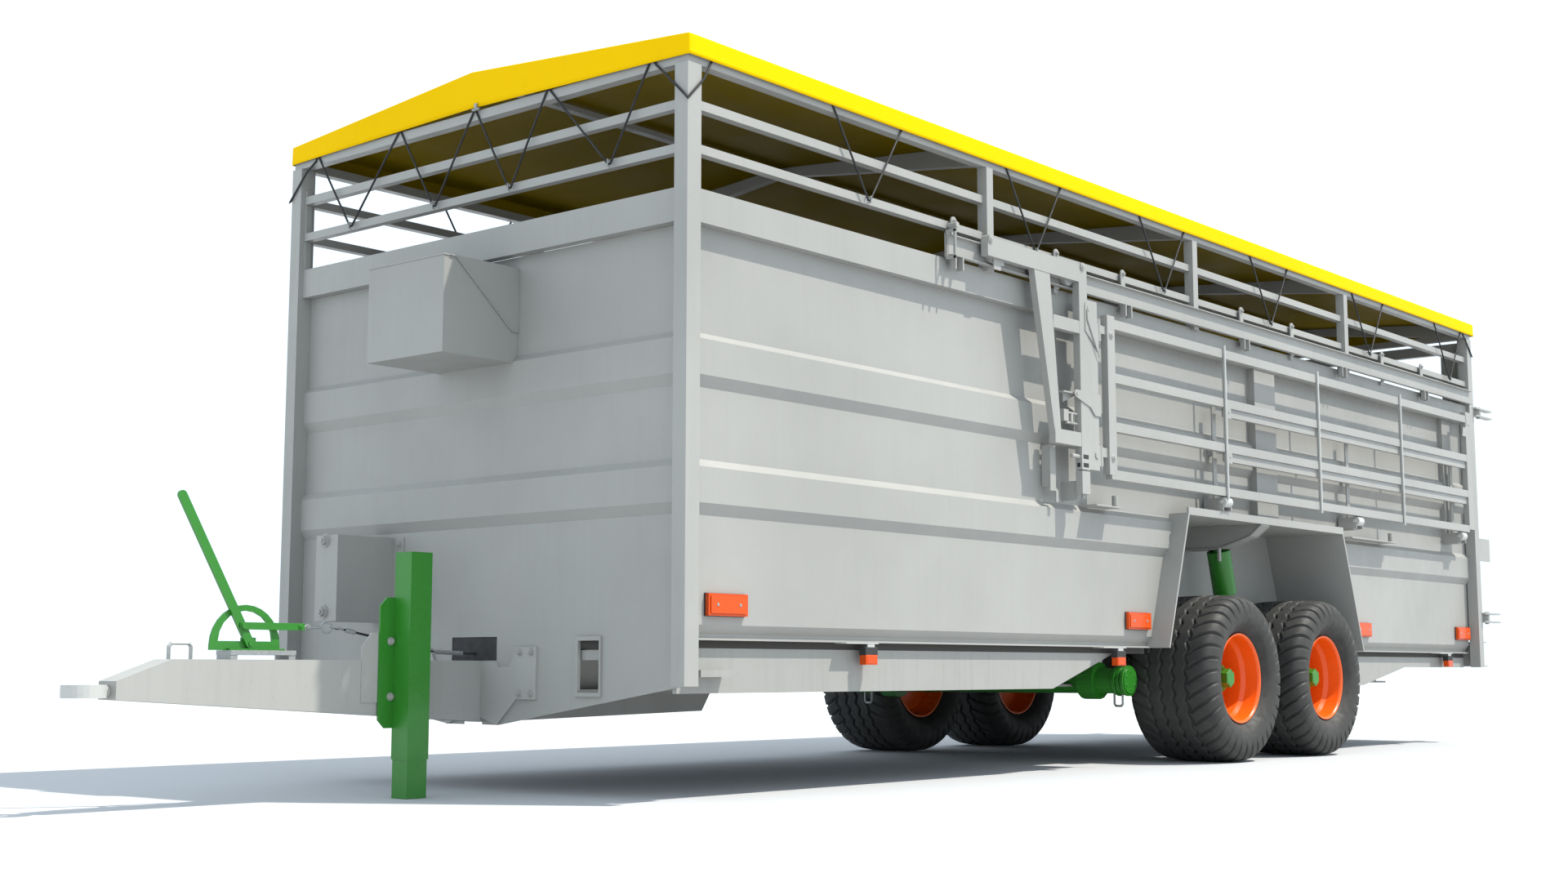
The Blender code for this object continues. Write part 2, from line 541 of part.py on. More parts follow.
# Parking jack: square tube bolted to the bracket, and the leg that slides in it.
tube = block(JACK_X, JACK_Y, (0.143, 0.918))
flange = [(-0.446, 0.290), (-0.446, 0.716), (-0.415, 0.747), (-0.285, 0.747), (-0.285, 0.259), (-0.415, 0.259)]
join(tube, plate("x", flange, (0.0596, 0.0680)))
bore_x = (JACK_X[0] + JACK_WALL, JACK_X[1] - JACK_WALL)
bore_y = (JACK_Y[0] + JACK_WALL, JACK_Y[1] - JACK_WALL)
cut(tube, block(bore_x, bore_y, (0.1, 0.905)))
part("jack_tube", tube, GREEN, 0.4)
leg = block((bore_x[0] + GAP, bore_x[1] - GAP), (bore_y[0] + GAP, bore_y[1] - GAP), (0.0, 0.520))
part("jack_leg", leg, GREEN, 0.4, 0.0, (sum(JACK_X) / 2, sum(JACK_Y) / 2, 0.0))

# Parking brake: stand, toothless quadrant with the pivot pin, lever, and the link that pulls the cable.
stand = block((-0.045, 0.045), (-1.074, -0.802), (0.528, 0.5447))
for y in (-1.074, -0.832):
    join(stand, block((-0.043, 0.043), (y + 0.001, y + 0.029), (BAR_TOP + GAP, 0.535)))
part("brake_stand", stand, ZINC, 0.4, 0.6)

ARC_Y = -0.984
ARC_Z = 0.561
arc = [(ARC_Y + 0.145 * math.cos(a * math.pi / 14), ARC_Z + 0.145 * math.sin(a * math.pi / 14)) for a in range(15)]
arc = [(ARC_Y + 0.145, 0.545)] + arc + [(ARC_Y - 0.145, 0.545)]
hollow = [(ARC_Y + 0.112 * math.cos(a * math.pi / 10), ARC_Z + 0.016 + 0.108 * math.sin(a * math.pi / 10))
          for a in range(11)]
quadrant = plate("x", arc, (-0.012, -0.004))
cut(quadrant, plate("x", hollow, (-0.1, 0.1)))
join(quadrant, plate("x", [(-1.000, 0.546), (-1.000, 0.590), (-0.940, 0.590), (-0.940, 0.546)], (-0.012, -0.004)))
join(quadrant, block((-0.030, 0.016), (-1.060, -0.830), (0.545, 0.551)))
join(quadrant, rod((-0.008, *BRAKE_PIVOT), (0.012, *BRAKE_PIVOT), 0.008, 12))
part("brake_quadrant", quadrant, GREEN, 0.4)

reach = Vector((LEVER_TIP[0] - BRAKE_PIVOT[0], LEVER_TIP[1] - BRAKE_PIVOT[1]))
lean = reach.normalized()
lever = []
for centre, first in ((LEVER_TIP, 0), (BRAKE_PIVOT, 180)):
    for step in range(7):
        turn = math.radians(first + step * 30 - 90) + math.atan2(lean.y, lean.x)
        lever.append((centre[0] + 0.0165 * math.cos(turn), centre[1] + 0.0165 * math.sin(turn)))
lever = plate("x", lever, (-0.0037, 0.0083))
cut(lever, rod((-0.1, *BRAKE_PIVOT), (0.1, *BRAKE_PIVOT), 0.0085, 12))
part("brake_lever", lever, GREEN, 0.4, 0.0, (0.0, *BRAKE_PIVOT))

link = block((0.0086, 0.0146), (-1.018, -0.745), (0.618, 0.644))
join(link, rod((0.008625, *LINK_BOLT), (0.022, *LINK_BOLT), 0.012, 12))
join(link, block((0.004, 0.012), (-0.760, -0.575), (0.626, 0.636)))
part("brake_link", link, GREEN, 0.4, 0.0, (0.0, *LINK_BOLT))

run = [(0.008, -0.5742, 0.629), (0.0, -0.432, 0.601), (0.0, -0.148, 0.548), (0.0, -0.070, 0.540), (0.0, 0.350, 0.540)]
part("brake_cable", cord(run, 0.004), BLACK, 0.6)

# Toolbox on the front wall: open-topped body and a lid with side cheeks that tips up.
BOX_HALF = 0.230
BOX_FRONT = -0.313
LID_Y = 0.005
LID_Z = 2.068
body = [(BOX_FRONT, 1.683), (BOX_FRONT, 2.059), (FRONT_BASE - GAP, 2.059), (FRONT_BASE - GAP, 1.7125),
        (FRONT_RIB - GAP, 1.6885), (FRONT_RIB - GAP, 1.683)]
body = plate("x", body, (-BOX_HALF, BOX_HALF))
room = [(BOX_FRONT + 0.003, 1.686), (BOX_FRONT + 0.003, 2.1), (LID_Y + 0.004, 2.1), (LID_Y + 0.004, 2.055),
        (0.0685, 2.055), (0.0685, 1.714), (0.0445, 1.690), (0.0445, 1.686)]
cut(body, plate("x", room, (-BOX_HALF + 0.003, BOX_HALF - 0.003)))
part("toolbox", body, GREY)

lid = block((-BOX_HALF - 0.0035, BOX_HALF + 0.0035), (BOX_FRONT - 0.002, 0.002), (2.0595, 2.065))
for side in (1, -1):
    cheek = [(-0.255, 2.0640), (0.034, 1.808), (0.0712, 1.808), (0.0712, 2.0640)]
    join(lid, plate("x", cheek, (side * (BOX_HALF + GAP), side * (BOX_HALF + 0.0035))))
part("toolbox_lid", lid, GREY, 0.5, 0.0, (0.0, LID_Y, LID_Z))

case = block((-0.653, -0.510), (-0.220, FRONT_BASE - GAP), (0.672, 1.022))
join(case, block((-0.600, -0.449), (0.0657, FRONT_BASE - GAP), (0.675, 1.020)))
part("lower_box", case, GREY)

# Folding side gate on the left: a track, a carriage that runs in it, a panel hinged to the carriage and an
# extension that slides out of the panel.
GATE = (GATE_IN, GATE_OUT)
track = block((TRACK_IN, TRACK_OUT), (1.640, 7.699), (2.245, 2.335))
cut(track, block((TRACK_IN + 0.004, 1.3), (1.6, 7.8), (2.249, 2.331)))
part("gate_track", track, GREY)

carriage = block(GATE, (1.857, 2.645), (2.275, 2.360))
for y in (1.950, 2.560):
    join(carriage, rod((1.2165, y, 2.290), (1.245, y, 2.290), 0.037, 16))
join(carriage, plate("x", [(2.225, 2.300), (2.358, 2.300), (2.440, 1.520), (2.390, 1.520)], (1.238, 1.270)))
join(carriage, block((1.237, 1.271), (2.385, 2.700), (2.030, 2.090)))
join(carriage, block((1.237, 1.271), (2.385, 2.700), (1.500, 1.565)))
join(carriage, block(GATE, (2.610, 2.680), (1.395, 2.340)))
join(carriage, block((1.2375, 1.2705), (2.670, 2.770), (1.400, 2.200)))
for low, high in HINGE_LEVELS:
    middle = (low + high) / 2
    join(carriage, block((1.246, 1.262), (2.740, SWING_Y), (low, middle - 0.002)))
    join(carriage, rod((SWING_X, SWING_Y, low - 0.001), (SWING_X, SWING_Y, middle - 0.0015), 0.016, 16))
    join(carriage, rod((SWING_X, SWING_Y, low), (SWING_X, SWING_Y, high - 0.004), 0.007, 12))
part("gate_carriage", carriage, GREY, 0.5, 0.0, (SWING_X, 1.857, 2.317))

PANEL_END = 7.445
panel = block(GATE, (2.860, 2.928), (1.390, 2.155))
for low, high in ((2.094, 2.140), (1.835, 1.880), (1.600, 1.645), (1.370, 1.415)):
    join(panel, block((1.2365, 1.2715), (2.880, PANEL_END), (low, high)))
for y in (4.040, 5.170, 6.350):
    join(panel, rod((1.2665, y, 1.390), (1.2665, y, 2.120), 0.0048, 8))
for low, high in HINGE_LEVELS:
    middle = (low + high) / 2
    knuckle = rod((SWING_X, SWING_Y, middle - 0.001), (SWING_X, SWING_Y, high), 0.016, 16)
    join(knuckle, block((1.247, 1.261), (SWING_Y, 2.870), (middle, high - 0.001)))
    cut(knuckle, rod((SWING_X, SWING_Y, middle - 0.1), (SWING_X, SWING_Y, high - 0.003), 0.0075, 12))
    join(panel, knuckle)
part("gate_panel", panel, GREY, 0.5, 0.0, (SWING_X, SWING_Y, 1.370))

extension = block(GATE, (7.4455, 7.530), (1.390, 2.165))
for low, high in ((1.790, 1.8345), (1.555, 1.5995)):
    join(extension, block((1.2375, 1.2600), (4.070, 7.460), (low, high)))
part("gate_extension", extension, GREY, 0.5, 0.0, (SWING_X, 4.070, 1.390))

# Rear doors: two leaves with window openings at slat height, hinged on pins between the posts' lugs.
for side, hand in ((1, "left"), (-1, "right")):
    leaf = block((side * 0.004, side * 1.125), DOOR_FACES, (0.700, 2.688))
    cut(leaf, block((side * 0.134, side * 0.995), (7.7, 7.9), (2.300, 2.620)))
    cut(leaf, block((side * 0.060, side * 1.070), (7.7, DOOR_FACES[1] - 0.006), (0.760, 2.240)))
    for low in (1.554, 1.082):
        join(leaf, block((side * 0.030, side * 1.100), (7.820, 7.846), (low, low + 0.134)))
    for low, high in LUG_PAIRS:
        hinge = (low + LUG_SHEET + GAP, high - LUG_SHEET - GAP)
        bend = [(1.090, 7.815), (1.150, 7.795), (DOOR_AXIS_X + 0.012, 7.842), (DOOR_AXIS_X, 7.872),
                (DOOR_AXIS_X - 0.012, 7.870), (1.140, 7.829), (1.090, 7.829)]
        strap = plate("z", [(side * x, y) for x, y in bend], hinge)
        join(strap, rod((side * DOOR_AXIS_X, DOOR_AXIS_Y, hinge[0]), (side * DOOR_AXIS_X, DOOR_AXIS_Y, hinge[1]), 0.018))
        cut(strap, rod((side * DOOR_AXIS_X, DOOR_AXIS_Y, 0.5), (side * DOOR_AXIS_X, DOOR_AXIS_Y, 2.5), 0.0085, 12))
        join(leaf, strap)
    part(f"rear_door_{hand}", leaf, GREY, 0.5, 0.0, (side * DOOR_AXIS_X, DOOR_AXIS_Y, 0.700))
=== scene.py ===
"""Looks of the twin-axle livestock trailer: materials, tyre treads, tarpaulin, fittings, light and camera."""
import math

import bmesh
import bpy
from mathutils import Matrix, Vector, noise


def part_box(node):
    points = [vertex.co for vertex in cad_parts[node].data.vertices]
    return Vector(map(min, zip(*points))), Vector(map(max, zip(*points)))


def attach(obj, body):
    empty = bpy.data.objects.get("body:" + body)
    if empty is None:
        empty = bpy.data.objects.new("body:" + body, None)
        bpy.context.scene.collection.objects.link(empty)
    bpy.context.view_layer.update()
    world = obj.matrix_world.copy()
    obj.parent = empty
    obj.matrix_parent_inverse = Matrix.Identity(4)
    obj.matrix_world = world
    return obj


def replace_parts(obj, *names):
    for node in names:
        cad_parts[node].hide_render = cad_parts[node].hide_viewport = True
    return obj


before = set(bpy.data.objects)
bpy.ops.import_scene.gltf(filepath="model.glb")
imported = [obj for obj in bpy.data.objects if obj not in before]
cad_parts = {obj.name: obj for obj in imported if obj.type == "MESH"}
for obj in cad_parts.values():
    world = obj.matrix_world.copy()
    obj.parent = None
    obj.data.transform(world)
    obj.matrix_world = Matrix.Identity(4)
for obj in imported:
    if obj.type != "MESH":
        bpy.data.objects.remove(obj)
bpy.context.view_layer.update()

# Every y below is measured from the corner posts' front face
FRONT_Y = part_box("corner_post_front_left")[0][1]


def at(x, y, z):
    return Vector((x, y + FRONT_Y, z))


# Materials
def surface(name):
    """A new material, its node tree and its shader."""
    material = bpy.data.materials.new(name)
    material.use_nodes = True
    tree = material.node_tree
    return material, tree, tree.nodes["Principled BSDF"]


def noise_node(tree, scale, detail=3.0, stretch=None):
    place = tree.nodes.new("ShaderNodeTexCoord")
    texture = tree.nodes.new("ShaderNodeTexNoise")
    texture.inputs["Scale"].default_value = scale
    texture.inputs["Detail"].default_value = detail
    source = place.outputs["Object"]
    if stretch:
        mapping = tree.nodes.new("ShaderNodeMapping")
        mapping.inputs["Scale"].default_value = stretch
        tree.links.new(source, mapping.inputs["Vector"])
        source = mapping.outputs["Vector"]
    tree.links.new(source, texture.inputs["Vector"])
    return texture.outputs["Fac"]


def ranged(tree, value, low, high, out_low, out_high):
    node = tree.nodes.new("ShaderNodeMapRange")
    for key, number in (("From Min", low), ("From Max", high), ("To Min", out_low), ("To Max", out_high)):
        node.inputs[key].default_value = number
    tree.links.new(value, node.inputs["Value"])
    return node.outputs["Result"]


def blended(tree, factor, first, second):
    """A colour mix; first is a colour or a socket, second a colour."""
    node = tree.nodes.new("ShaderNodeMix")
    node.data_type = "RGBA"
    tree.links.new(factor, node.inputs["Factor"])
    if isinstance(first, bpy.types.NodeSocket):
        tree.links.new(first, node.inputs[6])
    else:
        node.inputs[6].default_value = (*first, 1.0)
    node.inputs[7].default_value = (*second, 1.0)
    return node.outputs[2]


def bumped(tree, shader, height, distance, strength=1.0):
    node = tree.nodes.new("ShaderNodeBump")
    node.inputs["Distance"].default_value = distance
    node.inputs["Strength"].default_value = strength
    tree.links.new(height, node.inputs["Height"])
    tree.links.new(node.outputs["Normal"], shader.inputs["Normal"])


def shade(colour, factor):
    return tuple(min(1.0, channel * factor) for channel in colour)


def paint(name, colour, roughness, grime=0.10, metallic=0.0, peel=0.00035):
    """Sprayed paint: soft tone variation, thin vertical streaks, fine specks, and orange peel."""
    material, tree, shader = surface(name)
    tone = ranged(tree, noise_node(tree, 1.3, 4.0), 0.35, 0.65, 0.0, 1.0)
    base = blended(tree, tone, shade(colour, 0.94), shade(colour, 1.05))
    streak = ranged(tree, noise_node(tree, 5.0, 5.0, (6.0, 6.0, 0.35)), 0.50, 0.78, 0.0, grime * 1.6)
    base = blended(tree, streak, base, shade(colour, 0.72))
    speck = ranged(tree, noise_node(tree, 70.0, 2.0), 0.62, 0.74, 0.0, grime)
    base = blended(tree, speck, base, shade(colour, 0.55))
    tree.links.new(base, shader.inputs["Base Color"])
    wear = ranged(tree, noise_node(tree, 9.0, 5.0), 0.3, 0.7, roughness - 0.07, roughness + 0.10)
    tree.links.new(wear, shader.inputs["Roughness"])
    shader.inputs["Metallic"].default_value = metallic
    bumped(tree, shader, noise_node(tree, 420.0, 1.0), peel, 0.5)
    return material


def galvanised(name, colour):
    """Zinc coat with spangle."""
    material, tree, shader = surface(name)
    place = tree.nodes.new("ShaderNodeTexCoord")
    cells = tree.nodes.new("ShaderNodeTexVoronoi")
    cells.inputs["Scale"].default_value = 130.0
    tree.links.new(place.outputs["Object"], cells.inputs["Vector"])
    grain = tree.nodes.new("ShaderNodeSeparateColor")
    tree.links.new(cells.outputs["Color"], grain.inputs["Color"])
    flake = grain.outputs["Red"]
    base = blended(tree, flake, shade(colour, 0.86), shade(colour, 1.08))
    tree.links.new(base, shader.inputs["Base Color"])
    tree.links.new(ranged(tree, flake, 0.0, 1.0, 0.32, 0.52), shader.inputs["Roughness"])
    shader.inputs["Metallic"].default_value = 0.45
    bumped(tree, shader, noise_node(tree, 260.0, 2.0), 0.0003, 0.5)
    return material


def rubber(name, colour, dust):
    material, tree, shader = surface(name)
    patches = ranged(tree, noise_node(tree, 7.0, 5.0), 0.45, 0.75, 0.0, 0.55)
    base = blended(tree, patches, colour, dust)
    specks = ranged(tree, noise_node(tree, 90.0, 3.0), 0.6, 0.8, 0.0, 0.5)
    base = blended(tree, specks, base, shade(colour, 0.5))
    tree.links.new(base, shader.inputs["Base Color"])
    wear = ranged(tree, noise_node(tree, 25.0, 3.0), 0.3, 0.7, 0.55, 0.80)
    tree.links.new(wear, shader.inputs["Roughness"])
    bumped(tree, shader, noise_node(tree, 500.0, 2.0), 0.0005, 0.6)
    return material


def tarpaulin(name, colour):
    """Coated cloth: crossing yarns in relief under a satin coat, with faint creases."""
    material, tree, shader = surface(name)
    tone = ranged(tree, noise_node(tree, 0.9, 4.0), 0.3, 0.7, 0.0, 1.0)
    base = blended(tree, tone, shade(colour, 0.95), colour)
    marks = ranged(tree, noise_node(tree, 14.0, 5.0), 0.6, 0.8, 0.0, 0.18)
    base = blended(tree, marks, base, shade(colour, 0.75))
    tree.links.new(base, shader.inputs["Base Color"])
    tree.links.new(ranged(tree, noise_node(tree, 4.0, 3.0), 0.3, 0.7, 0.42, 0.58), shader.inputs["Roughness"])
    place = tree.nodes.new("ShaderNodeTexCoord")
    yarns = []
    for direction in ("X", "Y"):
        wave = tree.nodes.new("ShaderNodeTexWave")
        wave.bands_direction = direction
        wave.inputs["Scale"].default_value = 90.0
        wave.inputs["Distortion"].default_value = 0.4
        tree.links.new(place.outputs["Object"], wave.inputs["Vector"])
        yarns.append(wave.outputs["Fac"])
    weave = tree.nodes.new("ShaderNodeMath")
    weave.operation = "MAXIMUM"
    tree.links.new(yarns[0], weave.inputs[0])
    tree.links.new(yarns[1], weave.inputs[1])
    creased = tree.nodes.new("ShaderNodeMath")
    creased.operation = "MULTIPLY_ADD"
    tree.links.new(noise_node(tree, 3.0, 4.0, (1.0, 3.0, 1.0)), creased.inputs[0])
    creased.inputs[1].default_value = 6.0
    tree.links.new(weave.outputs[0], creased.inputs[2])
    bumped(tree, shader, creased.outputs[0], 0.0006, 0.5)
    shader.inputs["Specular IOR Level"].default_value = 0.02
    return material


def lens(name, colour):
    """Moulded reflector plastic with a fine prism grid behind a clear face."""
    material, tree, shader = surface(name)
    place = tree.nodes.new("ShaderNodeTexCoord")
    cells = tree.nodes.new("ShaderNodeTexVoronoi")
    cells.inputs["Scale"].default_value = 190.0
    cells.inputs["Randomness"].default_value = 0.0
    tree.links.new(place.outputs["Object"], cells.inputs["Vector"])
    depth = cells.outputs["Distance"]
    tree.links.new(blended(tree, ranged(tree, depth, 0.1, 0.7, 0.0, 1.0), colour, shade(colour, 0.62)),
                   shader.inputs["Base Color"])
    tree.links.new(ranged(tree, noise_node(tree, 30.0), 0.3, 0.7, 0.16, 0.30), shader.inputs["Roughness"])
    shader.inputs["Coat Weight"].default_value = 0.15
    shader.inputs["Specular IOR Level"].default_value = 0.25
    bumped(tree, shader, depth, 0.0006, 0.35)
    return material


def planks(name, colour):
    material, tree, shader = surface(name)
    grain = noise_node(tree, 9.0, 8.0, (9.0, 0.5, 9.0))
    base = blended(tree, ranged(tree, grain, 0.35, 0.65, 0.0, 1.0), shade(colour, 0.7), shade(colour, 1.2))
    tree.links.new(base, shader.inputs["Base Color"])
    tree.links.new(ranged(tree, grain, 0.3, 0.7, 0.6, 0.85), shader.inputs["Roughness"])
    bumped(tree, shader, grain, 0.002, 0.6)
    return material


WALL = (0.312, 0.311, 0.296)
GREEN = (0.026, 0.195, 0.018)
ORANGE = (0.86, 0.115, 0.006)
YELLOW = (0.84, 0.52, 0.001)
wall_paint = paint("wall_paint", WALL, 0.46, 0.07)
tube_paint = paint("tube_paint", shade(WALL, 1.02), 0.42, 0.10)
under_paint = paint("under_paint", shade(WALL, 0.95), 0.52, 0.22)
# The drawbar's paint is the wall's paint made lighter: painted light standing in for the floor's bounce light
# that its shaded spot lacks
bar_paint_painted_light = paint("bar_paint_painted_light", shade(WALL, 1.12), 0.46, 0.14)
green_paint = paint("green_paint", GREEN, 0.30, 0.10)
orange_paint = paint("orange_paint", ORANGE, 0.30, 0.08)
white_paint = paint("white_paint", (0.47, 0.475, 0.46), 0.40, 0.16)
zinc = galvanised("zinc", (0.33, 0.34, 0.34))
tyre_rubber = rubber("tyre_rubber", (0.026, 0.026, 0.025), (0.050, 0.048, 0.044))
cord_rubber = rubber("cord_rubber", (0.012, 0.012, 0.013), (0.03, 0.03, 0.03))
black_plastic = rubber("black_plastic", (0.02, 0.02, 0.022), (0.035, 0.035, 0.035))
roof_cloth = tarpaulin("roof_cloth", YELLOW)
# The cover's inner face: a duller cloth, made far darker as painted shade for the dim inside of the body
roof_underside_painted_shade = tarpaulin("roof_underside_painted_shade", (0.24, 0.165, 0.002))
amber = lens("amber", (0.80, 0.085, 0.002))
floor_planks = planks("floor_planks", (0.035, 0.032, 0.028))

FINISH = (("front_wall left_wall right_wall toolbox toolbox_lid lower_box", wall_paint),
          ("wheel_box_left wheel_box_right", wall_paint),
          ("corner_post_front_left corner_post_front_right", tube_paint),
          ("corner_post_rear_left corner_post_rear_right", tube_paint),
          ("left_upper_frame right_upper_frame front_upper_frame gate_track gate_carriage", tube_paint),
          ("gate_panel gate_extension rear_door_left rear_door_right roof_frame", tube_paint),
          ("chassis_frame rear_bumper", under_paint),
          ("drawbar drawbar_bracket_left drawbar_bracket_right", bar_paint_painted_light),
          ("towing_eye", white_paint), ("drawbar_handle brake_stand", zinc), ("roof_lacing", cord_rubber),
          ("brake_cable", black_plastic), ("floor_deck", floor_planks))
for names, material in FINISH:
    for node in names.split():
        bpy.data.objects[node].material_slots[0].material = material
GREEN_NODES = ("pivot", "suspension", "bogie", "cylinder", "jack", "brake_q", "brake_le", "brake_li")
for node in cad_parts:
    if node.startswith(GREEN_NODES):
        bpy.data.objects[node].material_slots[0].material = green_paint


# Building pieces
class Piece:
    """Gathers simple solids in one mesh, with y measured from the front posts."""

    def __init__(self, name, material, body="trailer", slot="front_wall", bevel=0.0, smooth=True):
        self.bm = bmesh.new()
        self.name = name
        self.material = material
        self.body = body
        self.slot = slot
        self.bevel = bevel
        self.smooth = smooth

    def box(self, x, y, z, turn=None):
        """A box between two values on each axis, turned about its middle by (angle, axis) if asked."""
        size = Matrix.Diagonal((abs(x[1] - x[0]), abs(y[1] - y[0]), abs(z[1] - z[0]), 1.0))
        place = Matrix.Translation(((x[0] + x[1]) / 2, (y[0] + y[1]) / 2, (z[0] + z[1]) / 2))
        if turn:
            place = place @ Matrix.Rotation(turn[0], 4, turn[1])
        bmesh.ops.create_cube(self.bm, size=1.0, matrix=place @ size)
        return self

    def rod(self, start, end, radius, segments=20, tip=None):
        start = Vector(start)
        end = Vector(end)
        turn = (end - start).to_track_quat("Z", "Y").to_matrix().to_4x4()
        bmesh.ops.create_cone(self.bm, cap_ends=True, segments=segments, radius1=radius,
                              radius2=radius if tip is None else tip, depth=(end - start).length,
                              matrix=Matrix.Translation((start + end) / 2) @ turn)
        return self

    def bolt(self, place, direction, size):
        """A hexagon head on a washer, standing out from a face."""
        place = Vector(place)
        direction = Vector(direction)
        self.rod(place, place + direction * size * 0.22, size * 1.15, 20)
        self.rod(place, place + direction * size * 0.85, size * 0.92, 6, size * 0.86)
        self.rod(place, place + direction * size * 1.15, size * 0.42, 12)
        return self

    def slab(self, axis, outline, span):
        """A flat outline given thickness along an axis."""
        order = {"x": (2, 0, 1), "y": (0, 2, 1), "z": (0, 1, 2)}[axis]
        rings = []
        for depth in span:
            ring = []
            for a, b in outline:
                flat = (a, b, depth)
                ring.append(self.bm.verts.new([flat[i] for i in order]))
            rings.append(ring)
        faces = [self.bm.faces.new(rings[0]), self.bm.faces.new(rings[1])]
        for i in range(len(outline)):
            j = (i + 1) % len(outline)
            faces.append(self.bm.faces.new((rings[0][i], rings[0][j], rings[1][j], rings[1][i])))
        bmesh.ops.recalc_face_normals(self.bm, faces=faces)
        return self

    def pipe(self, points, radius, closed=False, sides=12):
        """A round bar along points, with mitred corners."""
        points = [Vector(p) for p in points]
        count = len(points)
        rings = []
        normal = None
        for i, point in enumerate(points):
            before = points[i - 1] if i or closed else point
            after = points[(i + 1) % count] if i < count - 1 or closed else point
            into = (point - before).normalized() if point != before else (after - point).normalized()
            out = (after - point).normalized() if after != point else into
            along = (into + out).normalized()
            stretch = 1.0 / max(0.35, math.sqrt(max(0.0, (1.0 + into.dot(out)) / 2)))
            if normal is None:
                normal = along.orthogonal().normalized()
            normal = (normal - along * normal.dot(along)).normalized()
            side = along.cross(normal)
            bend = (out - into)
            bend = bend.normalized() if bend.length > 1e-6 else None
            ring = []
            for k in range(sides):
                turn = 2 * math.pi * k / sides
                offset = (normal * math.cos(turn) + side * math.sin(turn)) * radius
                if bend:
                    offset += bend * offset.dot(bend) * (stretch - 1.0)
                ring.append(self.bm.verts.new(point + offset))
            rings.append(ring)
        pairs = list(zip(rings, rings[1:])) + ([(rings[-1], rings[0])] if closed else [])
        for a, b in pairs:
            for k in range(sides):
                self.bm.faces.new((a[k], a[(k + 1) % sides], b[(k + 1) % sides], b[k]))
        if not closed:
            self.bm.faces.new(list(reversed(rings[0])))
            self.bm.faces.new(rings[-1])
        return self

    def done(self):
        bmesh.ops.transform(self.bm, matrix=Matrix.Translation((0, FRONT_Y, 0)), verts=self.bm.verts)
        bmesh.ops.recalc_face_normals(self.bm, faces=self.bm.faces)
        mesh = bpy.data.meshes.new(self.name)
        self.bm.to_mesh(mesh)
        self.bm.free()
        mesh.materials.append(self.material)
        obj = bpy.data.objects.new(self.name, mesh)
        bpy.context.scene.collection.objects.link(obj)
        if self.smooth:
            mesh.shade_smooth()
            mesh.set_sharp_from_angle(angle=math.radians(35))
        if self.bevel:
            bevel = obj.modifiers.new("bevel", "BEVEL")
            bevel.width = self.bevel
            bevel.segments = 2
            bevel.limit_method = "ANGLE"
            bevel.harden_normals = True
        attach(obj, self.body)
        return obj


# Camera, at the left front corner and low down
camera_data = bpy.data.cameras.new("camera")
camera_data.sensor_width = 36.0
camera_data.lens = 43.57
camera = bpy.data.objects.new("camera", camera_data)
camera.location = at(5.829, -4.937, 0.476)
camera.rotation_euler = (math.pi / 2 + 0.120, 0.0, 0.700)
bpy.context.scene.collection.objects.link(camera)
bpy.context.scene.camera = camera

# Light: a high sun from the right rear, pale sky, and a white floor
sun_data = bpy.data.lights.new("sun", "SUN")
sun_data.energy = 5.0
sun_data.angle = math.radians(0.8)
sun_data.color = (1.0, 0.95, 0.86)
sun = bpy.data.objects.new("sun", sun_data)
SUN_SIDE = math.radians(31.6)
SUN_HIGH = math.radians(57.3)
towards = Vector((math.cos(SUN_HIGH) * math.cos(SUN_SIDE), math.cos(SUN_HIGH) * math.sin(SUN_SIDE),
                  math.sin(SUN_HIGH)))
sun.rotation_euler = towards.to_track_quat("Z", "Y").to_euler()
bpy.context.scene.collection.objects.link(sun)

world = bpy.data.worlds.new("sky")
world.use_nodes = True
background = world.node_tree.nodes["Background"]
background.inputs["Color"].default_value = (0.80, 0.91, 1.0, 1.0)
background.inputs["Strength"].default_value = 1.26
bpy.context.scene.world = world
bpy.context.scene.view_settings.view_transform = "Standard"

floor_mesh = bpy.data.meshes.new("floor")
floor_bm = bmesh.new()
bmesh.ops.create_grid(floor_bm, x_segments=1, y_segments=1, size=150.0)
floor_bm.to_mesh(floor_mesh)
floor_bm.free()
floor_look, _, floor_shader = surface("floor_look")
floor_shader.inputs["Base Color"].default_value = (0.49, 0.50, 0.52, 1.0)
floor_shader.inputs["Roughness"].default_value = 0.9
floor_mesh.materials.append(floor_look)
floor = bpy.data.objects.new("floor", floor_mesh)
floor.location.z = -0.001
bpy.context.scene.collection.objects.link(floor)


# Wheels: every tyre, rim and hub is turned once about +X and shared between the four corners
def curve_through(points, steps):
    """Catmull-Rom points through a list of (radius, height)."""
    out = []
    for i in range(len(points) - 1):
        p = [Vector(points[max(0, min(len(points) - 1, i + k))]) for k in (-1, 0, 1, 2)]
        for step in range(steps):
            t = step / steps
            out.append(0.5 * (2 * p[1] + (p[2] - p[0]) * t + (2 * p[0] - 5 * p[1] + 4 * p[2] - p[3]) * t * t
                              + (3 * p[1] - p[0] - 3 * p[2] + p[3]) * t ** 3))
    return out + [Vector(points[-1])]


